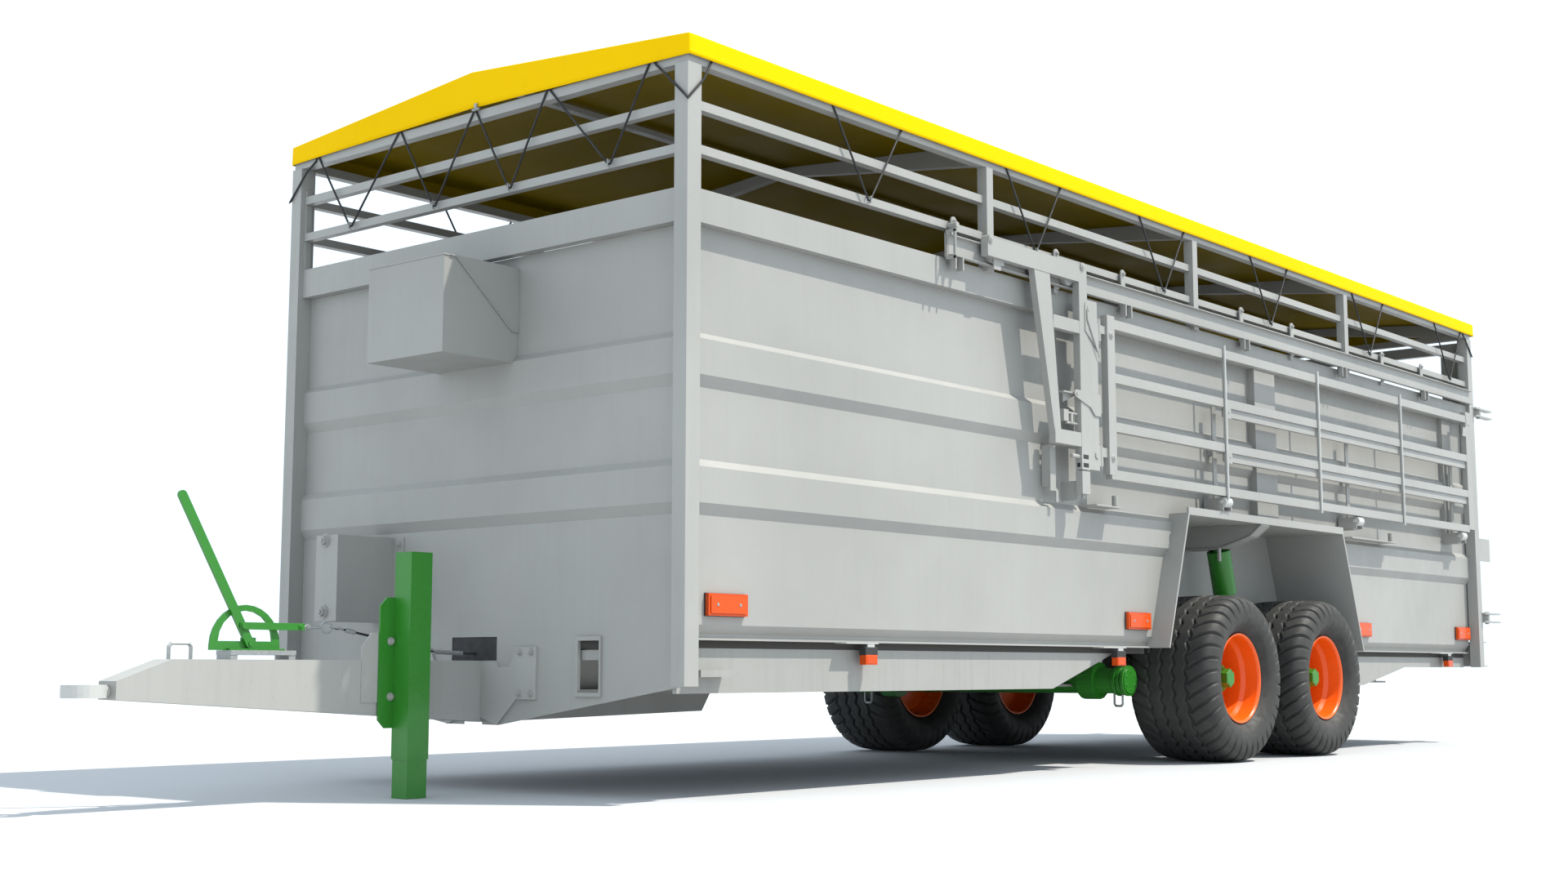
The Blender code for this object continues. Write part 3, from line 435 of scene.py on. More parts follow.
def turned_mesh(name, profile, steps, material, closed=True, relief=None):
    """A profile of (radius, height) turned about +X; relief gives a depth at each (height, radius, angle)."""
    bm = bmesh.new()
    rings = []
    for i in range(steps):
        angle = 2 * math.pi * i / steps
        ring = []
        for radius, height in profile:
            deep = relief(height, radius, angle) if relief else 0.0
            out = max(-1.0, min(1.0, height / 0.30))
            r = radius - deep * (1.0 - abs(out) * 0.45)
            h = height - deep * out * 0.6
            ring.append(bm.verts.new((h, r * math.cos(angle), r * math.sin(angle))))
        rings.append(ring)
    count = len(profile)
    for i in range(steps):
        a = rings[i]
        b = rings[(i + 1) % steps]
        for k in range(count if closed else count - 1):
            n = (k + 1) % count
            bm.faces.new((a[k], a[n], b[n], b[k]))
    bmesh.ops.remove_doubles(bm, verts=bm.verts, dist=1e-6)
    bmesh.ops.recalc_face_normals(bm, faces=bm.faces)
    mesh = bpy.data.meshes.new(name)
    bm.to_mesh(mesh)
    bm.free()
    mesh.materials.append(material)
    mesh.shade_smooth()
    mesh.set_sharp_from_angle(angle=math.radians(40))
    return mesh


CARCASS = ((0.2238, 0.186), (0.236, 0.190), (0.250, 0.206), (0.275, 0.228), (0.305, 0.2405), (0.335, 0.2445),
           (0.365, 0.2425), (0.392, 0.233), (0.412, 0.217), (0.424, 0.195), (0.4300, 0.160), (0.4325, 0.11),
           (0.4329, 0.05), (0.4330, 0.0))
LUGS = 36
RIB_LINES = (-0.108, -0.036, 0.036, 0.108)
RIB_GROOVE = 0.0095
LUG_GROOVE = 0.0105
DEPTH = 0.0130


def groove(distance, width):
    """1 in the middle of a groove, falling to 0 at its edge."""
    t = max(0.0, min(1.0, 1.5 - 1.5 * abs(distance) / width))
    return t * t * (3 - 2 * t)


def tread(height, radius, angle):
    """Depth of the grooves: zigzags round the middle, and lugs that sweep over each shoulder and fade out."""
    if radius < 0.318:
        return 0.0
    across = abs(height)
    turn = angle * LUGS / (2 * math.pi)
    swing = 0.0095 * (4 * abs(turn % 1.0 - 0.5) - 1)
    depth = max(groove(height - line - swing, RIB_GROOVE) for line in RIB_LINES)
    over = max(0.0, 0.4335 - radius)
    part = max(0.0, (across - 0.108) / 0.125) + 3.5 * over
    if across > 0.100:
        lead = turn + 0.5 + 1.15 * part ** 0.85 * (1 - 0.18 * part)
        near = (lead + 0.5) % 1.0 - 0.5
        pitch = 2 * math.pi * radius / LUGS
        fade = max(0.0, min(1.0, (radius - 0.322) / 0.055)) ** 0.7
        start = max(0.0, min(1.0, (across - 0.108 + swing * (1 if height > 0 else -1)) / 0.005))
        cut = groove(near * pitch, LUG_GROOVE) * fade * start
        depth = max(depth, cut)
    return DEPTH * depth


TYRE_STEPS = 612                  # a whole number to each lug


def evened(points, step):
    """The same line with a point at every step of its length."""
    out = [points[0]]
    for a, b in zip(points, points[1:]):
        count = max(1, round((b - a).length / step))
        out += [a.lerp(b, k / count) for k in range(1, count + 1)]
    return out


PROFILE_STEP = 0.0052
outer = evened(curve_through(CARCASS, 6), PROFILE_STEP)
outer = outer + [Vector((r, -h)) for r, h in reversed(outer[:-1])]
INSIDE = [(0.2238, -0.170), (0.300, -0.205), (0.395, -0.160), (0.395, 0.160), (0.300, 0.205), (0.2238, 0.170)]
tyre_profile = [tuple(p) for p in outer] + INSIDE
tyre_mesh = turned_mesh("tyre", tyre_profile, TYRE_STEPS, tyre_rubber, relief=tread)

RIM = ((0.2255, 0.1985), (0.2300, 0.2000), (0.2335, 0.1985), (0.2340, 0.1960), (0.2325, 0.1925),
       (0.2232, 0.1900), (0.2215, 0.1860), (0.2215, 0.1230), (0.2190, 0.1180), (0.2050, 0.1020),
       (0.2030, 0.0950), (0.2030, -0.095), (0.2190, -0.1180), (0.2215, -0.1230), (0.2215, -0.1880),
       (0.2325, -0.1925), (0.2335, -0.2000), (0.2250, -0.1985), (0.2170, -0.1840), (0.2160, -0.1240),
       (0.1990, -0.1020), (0.1980, -0.088), (0.1700, -0.079), (0.0700, -0.079), (0.0700, -0.066),
       (0.1150, -0.066), (0.1220, -0.061), (0.1620, -0.061), (0.1850, -0.050), (0.1960, -0.030),
       (0.1980, -0.010), (0.1985, 0.0940), (0.2005, 0.1010), (0.2140, 0.1165), (0.2160, 0.1220),
       (0.2165, 0.1830), (0.2185, 0.1900), (0.2230, 0.1965))
rim_mesh = turned_mesh("rim", RIM, 120, orange_paint)

HUB = ((0.0, 0.100), (0.0480, 0.100), (0.0500, 0.0980), (0.0505, 0.0900), (0.0700, 0.0885),
       (0.0730, 0.0860), (0.0740, 0.0740), (0.0720, 0.0700), (0.0600, 0.0690), (0.0585, 0.0660),
       (0.0585, 0.0330), (0.0760, 0.0315), (0.0800, 0.0285), (0.0810, 0.0170), (0.0790, 0.0130),
       (0.0670, 0.0110), (0.0665, -0.0200), (0.0840, -0.0215), (0.0860, -0.0240), (0.0860, -0.0320),
       (0.0840, -0.0345), (0.0680, -0.0360), (0.0675, -0.0480), (0.1030, -0.0495), (0.1050, -0.0515),
       (0.1050, -0.0633), (0.0685, -0.0633), (0.0685, -0.1500), (0.0310, -0.1500))
hub_mesh = turned_mesh("hub", HUB, 64, green_paint, closed=False)

for side, hand in ((1, "left"), (-1, "right")):
    for place in ("front", "rear"):
        low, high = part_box(f"tyre_{place}_{hand}")
        middle = (Vector(low) + Vector(high)) / 2
        spin = f"wheel_{place}_{hand}"
        for kind, mesh in (("tyre", tyre_mesh), ("rim", rim_mesh), ("hub", hub_mesh)):
            obj = bpy.data.objects.new(f"{kind}_{place}_{hand}_look", mesh)
            obj.location = middle
            obj.rotation_euler = (0.0, 0.0, 0.0 if side > 0 else math.pi)
            bpy.context.scene.collection.objects.link(obj)
            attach(obj, spin)
            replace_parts(obj, f"{kind}_{place}_{hand}")
        nuts = Piece(f"wheel_nuts_{place}_{hand}", green_paint, spin, f"hub_{place}_{hand}", 0.0020)
        y = middle.y - FRONT_Y
        for k in range(8):
            turn = 2 * math.pi * (k + 0.5) / 8
            spot = (middle.x - side * 0.0495, y + 0.090 * math.cos(turn), middle.z + 0.090 * math.sin(turn))
            nuts.bolt(spot, (side, 0, 0), 0.0115)
        cap = ((0.098, 0.142, 0.0500, 6, 0.0490), (0.1415, 0.144, 0.0400, 24, 0.0385))
        for near, far, radius, sides, end in cap:
            ends = [(middle.x + side * out, y, middle.z) for out in (near, far)]
            nuts.rod(*ends, radius, sides, end)
        nuts.done()


# Tarpaulin: one sheet over the hoops, with side skirts and a flap at each end
COVER_HALF = 1.217
COVER_ENDS = (-0.003, 7.813)
EAVE = 2.806
RIDGE = 2.905
SKIRT = 2.724
PEAK = 2.749                      # the flaps' lower edge rises a little to the middle
SHEET = 0.0025
HOOPS = (0.030, 1.965, 3.869, 5.743, 7.744)
SKIRT_ROWS = 6
ACROSS = 56
ALONG = 260


def sag(x, y):
    """How far the sheet hangs between its hoops and between the ridge bar and the eaves."""
    for low, high in zip(HOOPS, HOOPS[1:]):
        if low < y < high:
            bay = math.sin(math.pi * (y - low) / (high - low)) ** 2
            return 0.0085 * bay * math.sin(math.pi * min(1.0, abs(x) / COVER_HALF)) ** 1.2
    return 0.0


def ripple(u, seed):
    """Small outward waves along a skirt's free edge."""
    long_wave = 0.5 * noise.noise(Vector((u * 2.6, seed, 0.0)))
    return 0.5 + long_wave + 0.12 * noise.noise(Vector((u * 11.0, seed, 3.0)))


cloth = bmesh.new()
columns = []
for i in range(ALONG + 1):
    y = COVER_ENDS[0] + (COVER_ENDS[1] - COVER_ENDS[0]) * i / ALONG
    line = []
    for k in range(SKIRT_ROWS):
        drop = 1.0 - k / SKIRT_ROWS
        out_x = -COVER_HALF - 0.004 * drop ** 1.5 * ripple(y, 1.0)
        line.append(cloth.verts.new((out_x, y, EAVE + (SKIRT - EAVE) * drop)))
    for j in range(ACROSS + 1):
        x = COVER_HALF * (2 * j / ACROSS - 1)
        line.append(cloth.verts.new((x, y, EAVE + (RIDGE - EAVE) * (1 - abs(x) / COVER_HALF) - sag(x, y))))
    for k in range(SKIRT_ROWS):
        drop = (k + 1) / SKIRT_ROWS
        out_x = COVER_HALF + 0.004 * drop ** 1.5 * ripple(y, 7.0)
        line.append(cloth.verts.new((out_x, y, EAVE + (SKIRT - EAVE) * drop)))
    columns.append(line)
for a, b in zip(columns, columns[1:]):
    for k in range(len(a) - 1):
        cloth.faces.new((a[k], a[k + 1], b[k + 1], b[k]))
for edge, line, way in ((COVER_ENDS[0], columns[0], -1), (COVER_ENDS[1], columns[-1], 1)):
    top = line[SKIRT_ROWS:SKIRT_ROWS + ACROSS + 1]
    rows = [top]
    for k in range(SKIRT_ROWS):
        drop = (k + 1) / SKIRT_ROWS
        row = [line[SKIRT_ROWS - 1 - k]]
        for vert in top[1:-1]:
            share = abs(vert.co.x) / COVER_HALF
            low = PEAK + (SKIRT - PEAK) * share
            wave = 0.003 * drop ** 1.5 * ripple(vert.co.x, 4.0) * min(1.0, 8 * (1 - share))
            row.append(cloth.verts.new((vert.co.x, edge + way * wave, vert.co.z + (low - vert.co.z) * drop)))
        row.append(line[SKIRT_ROWS + ACROSS + 1 + k])
        rows.append(row)
    for a, b in zip(rows, rows[1:]):
        for k in range(ACROSS):
            cloth.faces.new((a[k], a[k + 1], b[k + 1], b[k]))
bmesh.ops.recalc_face_normals(cloth, faces=cloth.faces)
if sum(f.normal.z * f.calc_area() for f in cloth.faces) < 0:
    bmesh.ops.reverse_faces(cloth, faces=cloth.faces)
bmesh.ops.transform(cloth, matrix=Matrix.Translation((0, FRONT_Y, 0)), verts=cloth.verts)
cloth_mesh = bpy.data.meshes.new("roof_sheet")
cloth.to_mesh(cloth_mesh)
cloth.free()
cloth_mesh.materials.append(roof_cloth)
cloth_mesh.materials.append(roof_underside_painted_shade)
cloth_mesh.shade_smooth()
roof_sheet = bpy.data.objects.new("roof_sheet", cloth_mesh)
bpy.context.scene.collection.objects.link(roof_sheet)
rounded = roof_sheet.modifiers.new("eave", "BEVEL")
rounded.width = 0.007
rounded.segments = 3
rounded.limit_method = "ANGLE"
rounded.angle_limit = math.radians(40)
thick = roof_sheet.modifiers.new("sheet", "SOLIDIFY")
thick.thickness = SHEET
thick.offset = -1.0
# The inner face takes the darker cloth with its painted shade
thick.material_offset = 1
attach(roof_sheet, "trailer")
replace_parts(roof_sheet, "roof_cover")

# Side lamps and the reflectors that hang from the floor's edge
for side, hand in ((1, "left"), (-1, "right")):
    case = Piece(f"lamp_cases_{hand}", black_plastic, "trailer", f"{hand}_wall", 0.002)
    glass = Piece(f"lamp_lenses_{hand}", amber, "trailer", f"{hand}_wall", 0.004)
    screws = Piece(f"lamp_screws_{hand}", zinc, "trailer", f"{hand}_wall", 0.0006)
    for y in (0.290, 3.310, 5.970, 7.570):
        case.box((side * 1.1382, side * 1.1440), (y - 0.111, y + 0.111), (0.670, 0.756))
        glass.box((side * 1.1435, side * 1.1600), (y - 0.109, y + 0.109), (0.672, 0.754))
        glass.box((side * 1.1595, side * 1.1640), (y - 0.098, y + 0.098), (0.681, 0.745))
        for away in (-0.062, 0.062):
            screws.rod((side * 1.1630, y + away, 0.713), (side * 1.1665, y + away, 0.713), 0.0070, 20, 0.0055)
    strap = Piece(f"marker_straps_{hand}", white_paint, "trailer", f"{hand}_wall", 0.0006)
    for y in (1.140, 3.110, 7.290):
        strap.box((side * 1.100, side * 1.160), (y - 0.150, y + 0.060), (0.5790, 0.5832))
        strap.box((side * 1.152, side * 1.158), (y - 0.010, y + 0.036), (0.562, 0.5810))
        case.box((side * 1.128, side * 1.163), (y - 0.030, y + 0.050), (0.534, 0.566))
        glass.box((side * 1.130, side * 1.163), (y - 0.028, y + 0.048), (0.496, 0.536))
        glass.box((side * 1.1625, side * 1.1650), (y - 0.022, y + 0.042), (0.501, 0.530))
    for piece in (case, glass, screws, strap):
        piece.done()

# Bolts on the drawbar brackets, the jack's flange and the lower box
bolts = Piece("bracket_bolts", tube_paint, "trailer", "drawbar", 0.0006)
for side in (1, -1):
    for x in (0.280, 0.345):
        for z in (0.386, 0.544):
            bolts.bolt((side * x, 0.0617, z), (0, -1, 0), 0.0125)
bolts.bolt((0.068, -0.396, 0.583), (1, 0, 0), 0.0135)
bolts.bolt((0.068, -0.393, 0.376), (1, 0, 0), 0.0135)
for z in (0.710, 1.000):
    bolts.rod((-0.590, -0.2200, z), (-0.590, -0.2230, z), 0.0290, 28)
    bolts.bolt((-0.590, -0.2225, z), (0, -1, 0), 0.0210)
    bolts.bolt((-0.475, 0.0657, z - 0.004), (0, -1, 0), 0.0125)
bolts.done()


# Side gate: hooks and clips that hold its track, end plate, bosses, hinge plate, latch and support rollers
HINGE_LEAVES = ((2.020, 2.100), (1.425, 1.516))      # low and high end of each hinge
ROLLER_Y = (4.060, 5.720, 7.350)
PANEL_POST_Y = (4.040, 5.170, 6.350)


def rounded_tab(low_y, high_y, low_z, high_z):
    """A tab's outline in (y, z), its upper end a half circle."""
    middle = (low_y + high_y) / 2
    half = (high_y - low_y) / 2
    arc = [(middle + half * math.cos(math.pi * k / 10), high_z - half + half * math.sin(math.pi * k / 10))
           for k in range(11)]
    return [(low_y, low_z), (high_y, low_z)] + arc


hooks = Piece("track_hooks", tube_paint, "trailer", "gate_track", 0.0008)
for y in (1.690, 2.520, 3.130, 4.390, 5.010, 6.270, 6.890):
    hooks.slab("x", rounded_tab(y - 0.019, y + 0.019, 2.236, 2.425), (1.2010, 1.2095))
    hooks.box((1.184, 1.203), (y - 0.016, y + 0.016), (2.215, 2.239))
    hooks.bolt((1.2095, y, 2.404), (1, 0, 0), 0.0105)
    hooks.box((1.190, 1.202), (y + 0.016, y + 0.034), (2.372, 2.398))
for y in (1.690, 3.130, 4.390, 5.640, 6.890):
    for away in (-0.034, 0.020):
        hooks.box((1.206, 1.240), (y + away, y + away + 0.009), (2.186, 2.246))
        hooks.box((1.206, 1.212), (y + away, y + away + 0.028), (2.200, 2.230))
hooks.box((1.204, 1.262), (1.6240, 1.6320), (2.226, 2.238))
hooks.box((1.204, 1.262), (1.6240, 1.6320), (2.342, 2.354))
hooks.box((1.204, 1.212), (1.6240, 1.6320), (2.226, 2.354))
hooks.box((1.250, 1.262), (1.6240, 1.6320), (2.226, 2.354))
hooks.box((1.206, 1.212), (1.6240, 1.6560), (2.228, 2.352))
hooks.rod((1.204, 1.660, 2.378), (1.250, 1.660, 2.378), 0.0130, 20)
hooks.done()

fittings = Piece("carriage_fittings", tube_paint, "carriage", "gate_carriage", 0.0008)
for y in (1.876, 2.640):
    fittings.rod((1.236, y, 2.352), (1.279, y, 2.352), 0.0180, 24)
    fittings.rod((1.279, y, 2.352), (1.283, y, 2.352), 0.0110, 20, 0.0085)
fittings.box((1.246, 1.254), (1.930, 1.985), (2.228, 2.276))
fittings.box((1.246, 1.254), (1.985, 2.010), (2.252, 2.276))
plate_top = [(2.655 + 0.030 + 0.030 * math.cos(math.radians(a)), 2.165 + 0.030 * math.sin(math.radians(a)))
             for a in range(180, 20, -16)]
plate_low = [(2.752, 2.110), (2.772, 2.045), (2.772, 1.965), (2.655, 2.050)]
fittings.slab("x", plate_top + plate_low, (1.2715, 1.2765))
fittings.rod((1.2765, 2.685, 2.160), (1.2790, 2.685, 2.160), 0.0120, 24)
fittings.pipe([(1.2790, 2.668, 2.150), (1.2800, 2.668, 2.105), (1.2800, 2.772, 1.935)], 0.0028, sides=8)
fittings.slab("x", [(2.548, 1.742), (2.552, 1.757), (2.570, 1.763), (2.780, 1.757), (2.780, 1.655),
                    (2.730, 1.655), (2.690, 1.690), (2.560, 1.728)], (1.2715, 1.2770))
fittings.rod((1.2770, 2.572, 1.745), (1.2800, 2.572, 1.745), 0.0085, 20)
fittings.box((1.238, 1.266), (2.470, 2.612), (1.742, 1.749))
fittings.slab("x", [(2.500, 1.700), (2.610, 1.742), (2.500, 1.742)], (1.2390, 1.2430))
fittings.box((1.238, 1.262), (2.475, 2.515), (1.610, 1.664))
for z in (1.652, 1.606):
    fittings.rod((1.250, 2.510, z), (1.250, 2.612, z), 0.0060, 14)
fittings.box((1.240, 1.258), (2.545, 2.562), (1.606, 1.650))
fittings.rod((1.254, 2.545, 1.455), (1.254, 2.612, 1.455), 0.0105, 18)
for low, high in HINGE_LEAVES:
    middle = (low + high) / 2
    fittings.box((1.240, 1.268), (2.768, 2.784), (low - 0.004, high + 0.004))
    fittings.bolt((1.254, 2.800, low - 0.0015), (0, 0, -1), 0.0130)
    fittings.rod((1.2705, 2.745, middle), (1.2760, 2.745, middle), 0.0170, 6)
fittings.done()
# Thin black plates on the carriage's faces where the latch bolt goes in: painted shade for the dark of the
# holes
latch_hole_shades = Piece("latch_holes_painted_shade", black_plastic, "carriage", "gate_carriage", 0.0)
for z in (1.455, 1.416):
    latch_hole_shades.box((1.2715, 1.2722), (2.622, 2.668), (z - 0.010, z + 0.010))
    latch_hole_shades.box((1.246, 1.262), (2.6092, 2.6101), (z - 0.010, z + 0.010))
latch_hole_shades.done()

on_panel = Piece("panel_fittings", tube_paint, "panel", "gate_panel", 0.0008)
for low, high in HINGE_LEAVES:
    middle = (low + high) / 2
    on_panel.bolt((1.254, 2.800, high + 0.0005), (0, 0, 1), 0.0130)
    on_panel.rod((1.2715, 2.894, middle), (1.2780, 2.894, middle), 0.0190, 24, 0.0150)
    on_panel.rod((1.2775, 2.894, middle), (1.2830, 2.894, middle), 0.0085, 6)
for y in PANEL_POST_Y:
    for z in (2.117, 1.8575, 1.6225, 1.3925):
        on_panel.rod((1.2705, y, z), (1.2740, y, z), 0.0075, 16)
on_panel.slab("x", [(7.380, 2.000), (7.440, 2.000), (7.440, 2.060), (7.395, 2.060)], (1.2700, 1.2745))
on_panel.done()

rests = Piece("gate_rests", tube_paint, "trailer", "left_wall", 0.0008)
for y in ROLLER_Y:
    rests.box((1.150, 1.262), (y - 0.046, y - 0.038), (1.296, 1.362))
    rests.box((1.150, 1.262), (y + 0.038, y + 0.046), (1.296, 1.362))
    rests.box((1.150, 1.240), (y - 0.046, y + 0.046), (1.292, 1.298))
rests.box((1.2360, 1.2720), (2.610, 2.680), (1.282, 1.3885))
rests.box((1.150, 1.2370), (2.620, 2.628), (1.255, 1.345))
rests.rod((1.254, 2.645, 1.262), (1.254, 2.645, 1.283), 0.0090, 16)
rests.slab("x", [(2.452, 1.505), (2.500, 1.505), (2.500, 1.305), (2.520, 1.295), (2.520, 1.240),
                 (2.500, 1.240), (2.500, 1.290), (2.452, 1.290)], (1.1900, 1.1980))
rests.box((1.150, 1.1915), (2.455, 2.463), (1.310, 1.500))
rests.box((1.150, 1.245), (2.780, 3.010), (1.2400, 1.2470))
rests.rod((1.222, 2.985, 1.247), (1.222, 2.985, 1.300), 0.0150, 20)
rests.box((1.150, 1.245), (5.650, 6.300), (1.2400, 1.2470))
rests.rod((1.222, 6.260, 1.247), (1.222, 6.260, 1.300), 0.0150, 20)
rests.done()
rollers = Piece("gate_rollers", white_paint, "trailer", "left_wall", 0.0015)
for y in ROLLER_Y:
    rollers.rod((1.250, y - 0.037, 1.3400), (1.250, y + 0.037, 1.3400), 0.0270, 28)
    rollers.rod((1.250, y - 0.052, 1.3400), (1.250, y + 0.052, 1.3400), 0.0090, 16)
rollers.done()

# Uprights behind the panel that carry the rollers, and sleeves over the panel's round bars
uprights = Piece("roller_uprights", tube_paint, "trailer", "left_wall", 0.0008)
for y in ROLLER_Y:
    uprights.box((1.1900, 1.1980), (y - 0.020, y + 0.020), (1.298, 1.860))
    uprights.box((1.1600, 1.1910), (y - 0.012, y + 0.012), (1.590, 1.650))
    for z in (1.660, 1.410):
        uprights.bolt((1.1980, y - 0.006, z), (1, 0, 0), 0.0085)
        uprights.rod((1.1940, y - 0.045, z - 0.006), (1.1940, y + 0.045, z - 0.006), 0.0050, 12)
uprights.done()
sleeves = Piece("panel_bars", white_paint, "panel", "gate_panel", 0.0)
for y in PANEL_POST_Y:
    sleeves.rod((1.2780, y, 1.352), (1.2780, y, 2.160), 0.0072, 20)
sleeves.done()
stops = Piece("extension_stops", tube_paint, "extension", "gate_extension", 0.0008)
for z in (1.812, 1.577):
    stops.box((1.2600, 1.2720), (4.070, 4.110), (z - 0.034, z + 0.034))
    stops.rod((1.2700, 4.090, z), (1.2740, 4.090, z), 0.0080, 6)
stops.box((1.2715, 1.2745), (7.455, 7.520), (2.080, 2.150))
stops.done()

# Spring cylinders: rounded barrel, gland and rod, their brackets' face plates, and the cross tube's fittings
PIVOT_Y = 3.710
PIVOT_Z = 0.420
tube = Piece("pivot_tube_look", green_paint, "trailer", "pivot_tube", 0.0015)
tube.rod((-0.870, PIVOT_Y, PIVOT_Z), (0.870, PIVOT_Y, PIVOT_Z), 0.0650, 64)
for side in (1, -1):
    tube.rod((side * 0.820, PIVOT_Y, PIVOT_Z), (side * 0.840, PIVOT_Y, PIVOT_Z), 0.0730, 64)
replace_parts(tube.done(), "pivot_tube")
for side, hand in ((1, "left"), (-1, "right")):
    faces = Piece(f"cylinder_bracket_{hand}", wall_paint, "trailer", f"wheel_box_{hand}", 0.0010)
    outline = [(0.765, 1.258), (0.765, 1.128), (0.990, 1.128), (1.170, 1.186), (1.238, 1.243), (1.238, 1.258)]
    faces.slab("y", [(side * x, z) for x, z in outline], (4.4900, 4.4990))
    faces.slab("y", [(side * x, z) for x, z in outline], (4.5810, 4.5900))
    faces.box((side * 0.986, side * 0.998), (4.470, 4.4905), (1.062, 1.140))
    faces.pipe([(side * 0.770, 4.486, 1.131), (side * 0.990, 4.486, 1.131), (side * 1.170, 4.486, 1.189),
                (side * 1.236, 4.486, 1.245)], 0.0065, sides=10)
    faces.done()
    barrel = Piece(f"barrel_{hand}_look", green_paint, f"barrel_{hand}", f"cylinder_barrel_{hand}", 0.0030)
    slope = Vector((0.0, 4.740 - 4.540, 0.433 - 1.170)).normalized()
    eye = Vector((side * 0.950, 4.540, 1.170))
    barrel.rod(eye + slope * 0.048, eye + slope * 0.290, 0.0640, 48)
    barrel.rod(eye + slope * 0.286, eye + slope * 0.300, 0.0560, 48)
    barrel.rod(eye - Vector((0.020, 0, 0)), eye + Vector((0.020, 0, 0)), 0.0300, 32)
    barrel.box((eye.x - 0.020, eye.x + 0.020), (eye.y - 0.012, eye.y + 0.036), (1.105, 1.168))
    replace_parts(barrel.done(), f"cylinder_barrel_{hand}")
    collars = Piece(f"pivot_collars_{hand}", green_paint, "trailer", "pivot_tube", 0.0015)
    for x in (0.800, 0.848):
        collars.rod((side * x, PIVOT_Y, PIVOT_Z), (side * (x + 0.016), PIVOT_Y, PIVOT_Z), 0.0780, 40)
    for turn in range(6):
        angle = math.radians(60 * turn + 30)
        head = (side * 0.864, PIVOT_Y + 0.045 * math.cos(angle), PIVOT_Z + 0.045 * math.sin(angle))
        collars.bolt(head, (side, 0, 0), 0.0085)
    collars.done()
    loop = Piece(f"tie_loop_{hand}", zinc, "trailer", "pivot_tube", 0.0)
    bend = ((0.785, 0.362), (0.785, 0.302), (0.793, 0.292), (0.825, 0.292), (0.833, 0.302), (0.833, 0.362))
    loop.pipe([(side * x, 3.690, z) for x, z in bend], 0.0060)
    loop.done()

# Elastic cord that laces the cover down
LACE = 0.0045
LOW = 2.381
TOP = 2.748
LACE_X = 1.2095                   # the cord lies along the outside of the top beams
SIDE_LOWS = (1.088, 2.341, 3.537, 4.743, 6.081, 7.369)
FRONT_LOWS = (-0.783, -0.226, 0.239, 0.801)
FRONT_TOPS = (-1.038, -0.460, 0.020, 0.455, 1.019)
lace = []
for side in (-1, 1):
    run = [(side * 1.045, 0.0040, 2.716), (side * 1.100, -0.0060, 2.670), (side * 1.2155, -0.0060, 2.556),
           (side * 1.2155, 0.080, 2.645), (side * LACE_X, 0.125, 2.716), (side * LACE_X, 0.145, TOP)]
    for y in SIDE_LOWS:
        run += [(side * LACE_X, y - 0.250, TOP), (side * LACE_X, y - 0.006, LOW)]
        run += [(side * LACE_X, y + 0.006, LOW), (side * LACE_X, y + 0.240, TOP)]
    run += [(side * LACE_X, 7.640, 2.716), (side * 1.2150, 7.690, 2.660), (side * 1.2150, 7.777, 2.580)]
    if side < 0:
        lace = list(reversed(run)) + [(FRONT_TOPS[0], 0.0040, TOP)]
        for low, top in zip(FRONT_LOWS, FRONT_TOPS[1:]):
            lace += [(low - 0.006, 0.0040, LOW), (low + 0.006, 0.0040, LOW), (top, 0.0040, TOP)]
    else:
        lace += run
lacing = Piece("lacing_look", cord_rubber, "trailer", "roof_lacing")
lacing.pipe(lace, LACE, sides=14)
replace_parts(lacing.done(), "roof_lacing")
lace_hooks = Piece("lacing_hooks", zinc, "trailer", "left_upper_frame", 0.0004)
HOOK_WIRE = 0.0028
for side in (1, -1):
    for y in SIDE_LOWS:
        bend = ((1.190, 2.396), (1.219, 2.396), (1.219, 2.374), (1.206, 2.368))
        lace_hooks.pipe([(side * x, y, z) for x, z in bend], HOOK_WIRE, sides=8)
for x in FRONT_LOWS:
    bend = ((0.022, 2.396), (-0.006, 2.396), (-0.006, 2.374), (0.008, 2.368))
    lace_hooks.pipe([(x, y, z) for y, z in bend], HOOK_WIRE, sides=8)
lace_hooks.box((0.020, 0.062), (-0.0140, -0.0045), (2.733, 2.741))
lace_hooks.box((0.034, 0.048), (-0.0140, -0.0065), (2.738, 2.762))
lace_hooks.done()

# Parking brake: the link's flat bar, its shackle and thimble, the doubled cable and the ferrule at the wall
bar = Piece("brake_link_look", green_paint, "link", "brake_link", 0.0012)
bar.box((0.0086, 0.0146), (-1.018, -0.745), (0.618, 0.644))
bar.rod((0.0086, -1.003, 0.632), (0.0220, -1.003, 0.632), 0.0120, 28)
bar.bolt((0.0146, -0.765, 0.631), (1, 0, 0), 0.0085)
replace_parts(bar.done(), "brake_link")
shackle = Piece("brake_shackle", zinc, "link", "brake_link", 0.0006)
shackle.rod((0.006, -0.790, 0.631), (0.006, -0.668, 0.631), 0.0065, 20)
shackle.rod((0.006, -0.735, 0.631), (0.006, -0.718, 0.631), 0.0115, 6)
shackle.pipe([(0.006, -0.645 + 0.024 * math.cos(a * math.pi / 12), 0.631 + 0.020 * math.sin(a * math.pi / 12))
              for a in range(24)], 0.0042, closed=True)
shackle.pipe([(0.006 + 0.013 * math.cos(a * math.pi / 12), -0.600 + 0.028 * math.sin(a * math.pi / 12),
               0.630 - 0.005 * math.sin(a * math.pi / 12)) for a in range(24)], 0.0042, closed=True)
shackle.rod((0.003, -0.135, 0.5465), (0.0, 0.010, 0.5400), 0.0085, 24)
shackle.rod((0.004, -0.560, 0.6235), (0.003, -0.515, 0.6150), 0.0095, 20)
shackle.done()
strands = Piece("brake_cable_look", black_plastic, "link", "brake_cable")
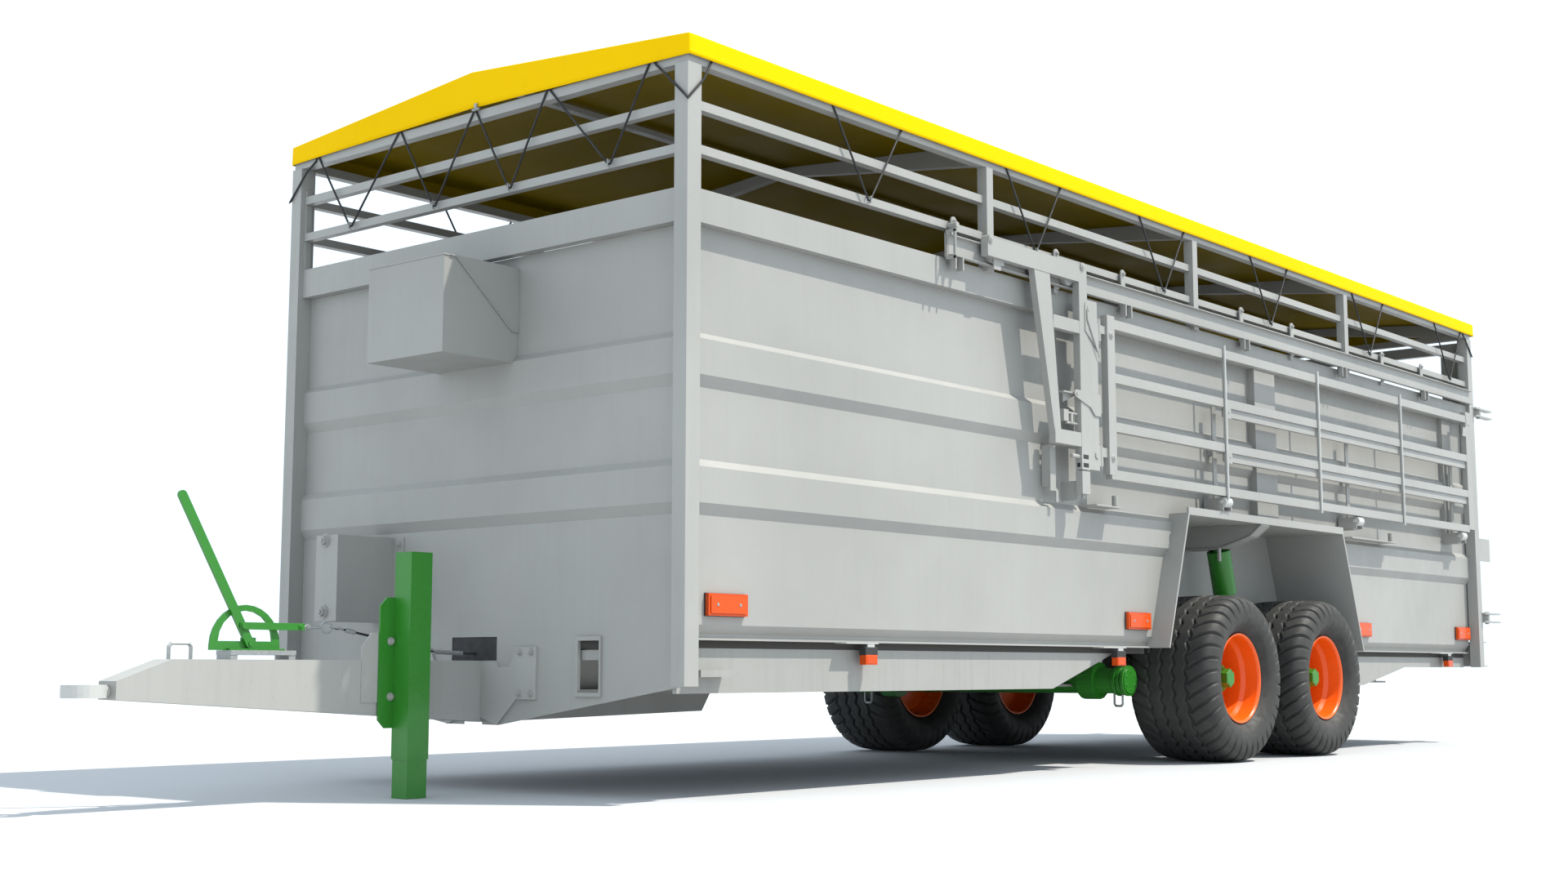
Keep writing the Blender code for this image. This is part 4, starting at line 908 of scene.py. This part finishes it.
for x in (-0.0055, 0.0055):
    strands.pipe([(0.006 + x * 2, -0.600, 0.6290), (0.004 + x, -0.560, 0.6235), (x, -0.432, 0.6010),
                  (x, -0.148, 0.5480), (x * 0.9, -0.070, 0.5400), (x * 0.9, 0.350, 0.5400)], 0.0035, sides=10)
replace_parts(strands.done(), "brake_cable")

# Folded edge of the toolbox lid's cheeks, and a black sheet behind the drawbar's opening that paints the
# shade inside it
hem = Piece("lid_hem", wall_paint, "lid", "toolbox_lid")
for side in (1, -1):
    edge = ((-0.285, 2.0630), (-0.256, 2.0605), (0.033, 1.8085), (0.0690, 1.8085))
    hem.pipe([(side * 0.2350, y, z) for y, z in edge], 0.0034, sides=10)
hem.done()
# A black sheet in the front wall's opening: painted shade for the dark inside
opening_shade_sheet = Piece("opening_painted_shade", black_plastic, "trailer", "front_wall")
opening_shade_sheet.box((-0.150, 0.150), (0.0752, 0.0768), (0.500, 0.610))
opening_shade_sheet.done()

# Rear doors: lock rods with guides, handles and their catches, a bead round each window, and hinge pin ends
ROD_Y = 7.862
DOOR_FACE = 7.829
HANDLE_Y = 7.896
HANDLE_Z = 1.330
HINGE_X = 1.210
HINGE_Y = 7.855
for side, hand in ((1, "left"), (-1, "right")):
    lock = Piece(f"door_lock_{hand}", zinc, f"door_{hand}", f"rear_door_{hand}", 0.0006)
    x = side * 0.085
    lock.rod((x, ROD_Y, 0.640), (x, ROD_Y, 2.700), 0.0110, 20)
    for z in (0.730, 1.020, 1.620, 2.250, 2.640):
        lock.box((x - 0.028, x + 0.028), (DOOR_FACE, 7.838), (z - 0.022, z + 0.022))
        lock.rod((x, ROD_Y, z - 0.014), (x, ROD_Y, z + 0.014), 0.0175, 24)
        for away in (-0.020, 0.020):
            lock.box((x + away - 0.004, x + away + 0.004), (7.830, 7.864), (z - 0.012, z + 0.012))
    lock.pipe([(x, ROD_Y, HANDLE_Z), (x, 7.888, HANDLE_Z), (x + side * 0.020, HANDLE_Y, HANDLE_Z),
               (x + side * 0.230, HANDLE_Y, HANDLE_Z)], 0.0090, sides=14)
    lock.box((side * 0.255, side * 0.285), (DOOR_FACE, 7.890), (1.318, 1.326))
    lock.box((side * 0.280, side * 0.288), (DOOR_FACE, 7.910), (1.318, 1.352))
    lock.done()
    bead = Piece(f"window_bead_{hand}", tube_paint, f"door_{hand}", f"rear_door_{hand}")
    corners = ((0.128, 2.294), (1.001, 2.294), (1.001, 2.626), (0.128, 2.626))
    bead.pipe([(side * x, 7.832, z) for x, z in corners], 0.0060, closed=True, sides=10)
    bead.done()
    pins = Piece(f"door_pins_{hand}", zinc, "trailer", f"corner_post_rear_{hand}", 0.0005)
    for low, high in ((2.175, 2.235), (0.789, 0.853)):
        pins.rod((side * HINGE_X, HINGE_Y, high), (side * HINGE_X, HINGE_Y, high + 0.007), 0.0150, 24)
        pins.rod((side * HINGE_X, HINGE_Y, low - 0.010), (side * HINGE_X, HINGE_Y, low), 0.0130, 6)
    pins.done()
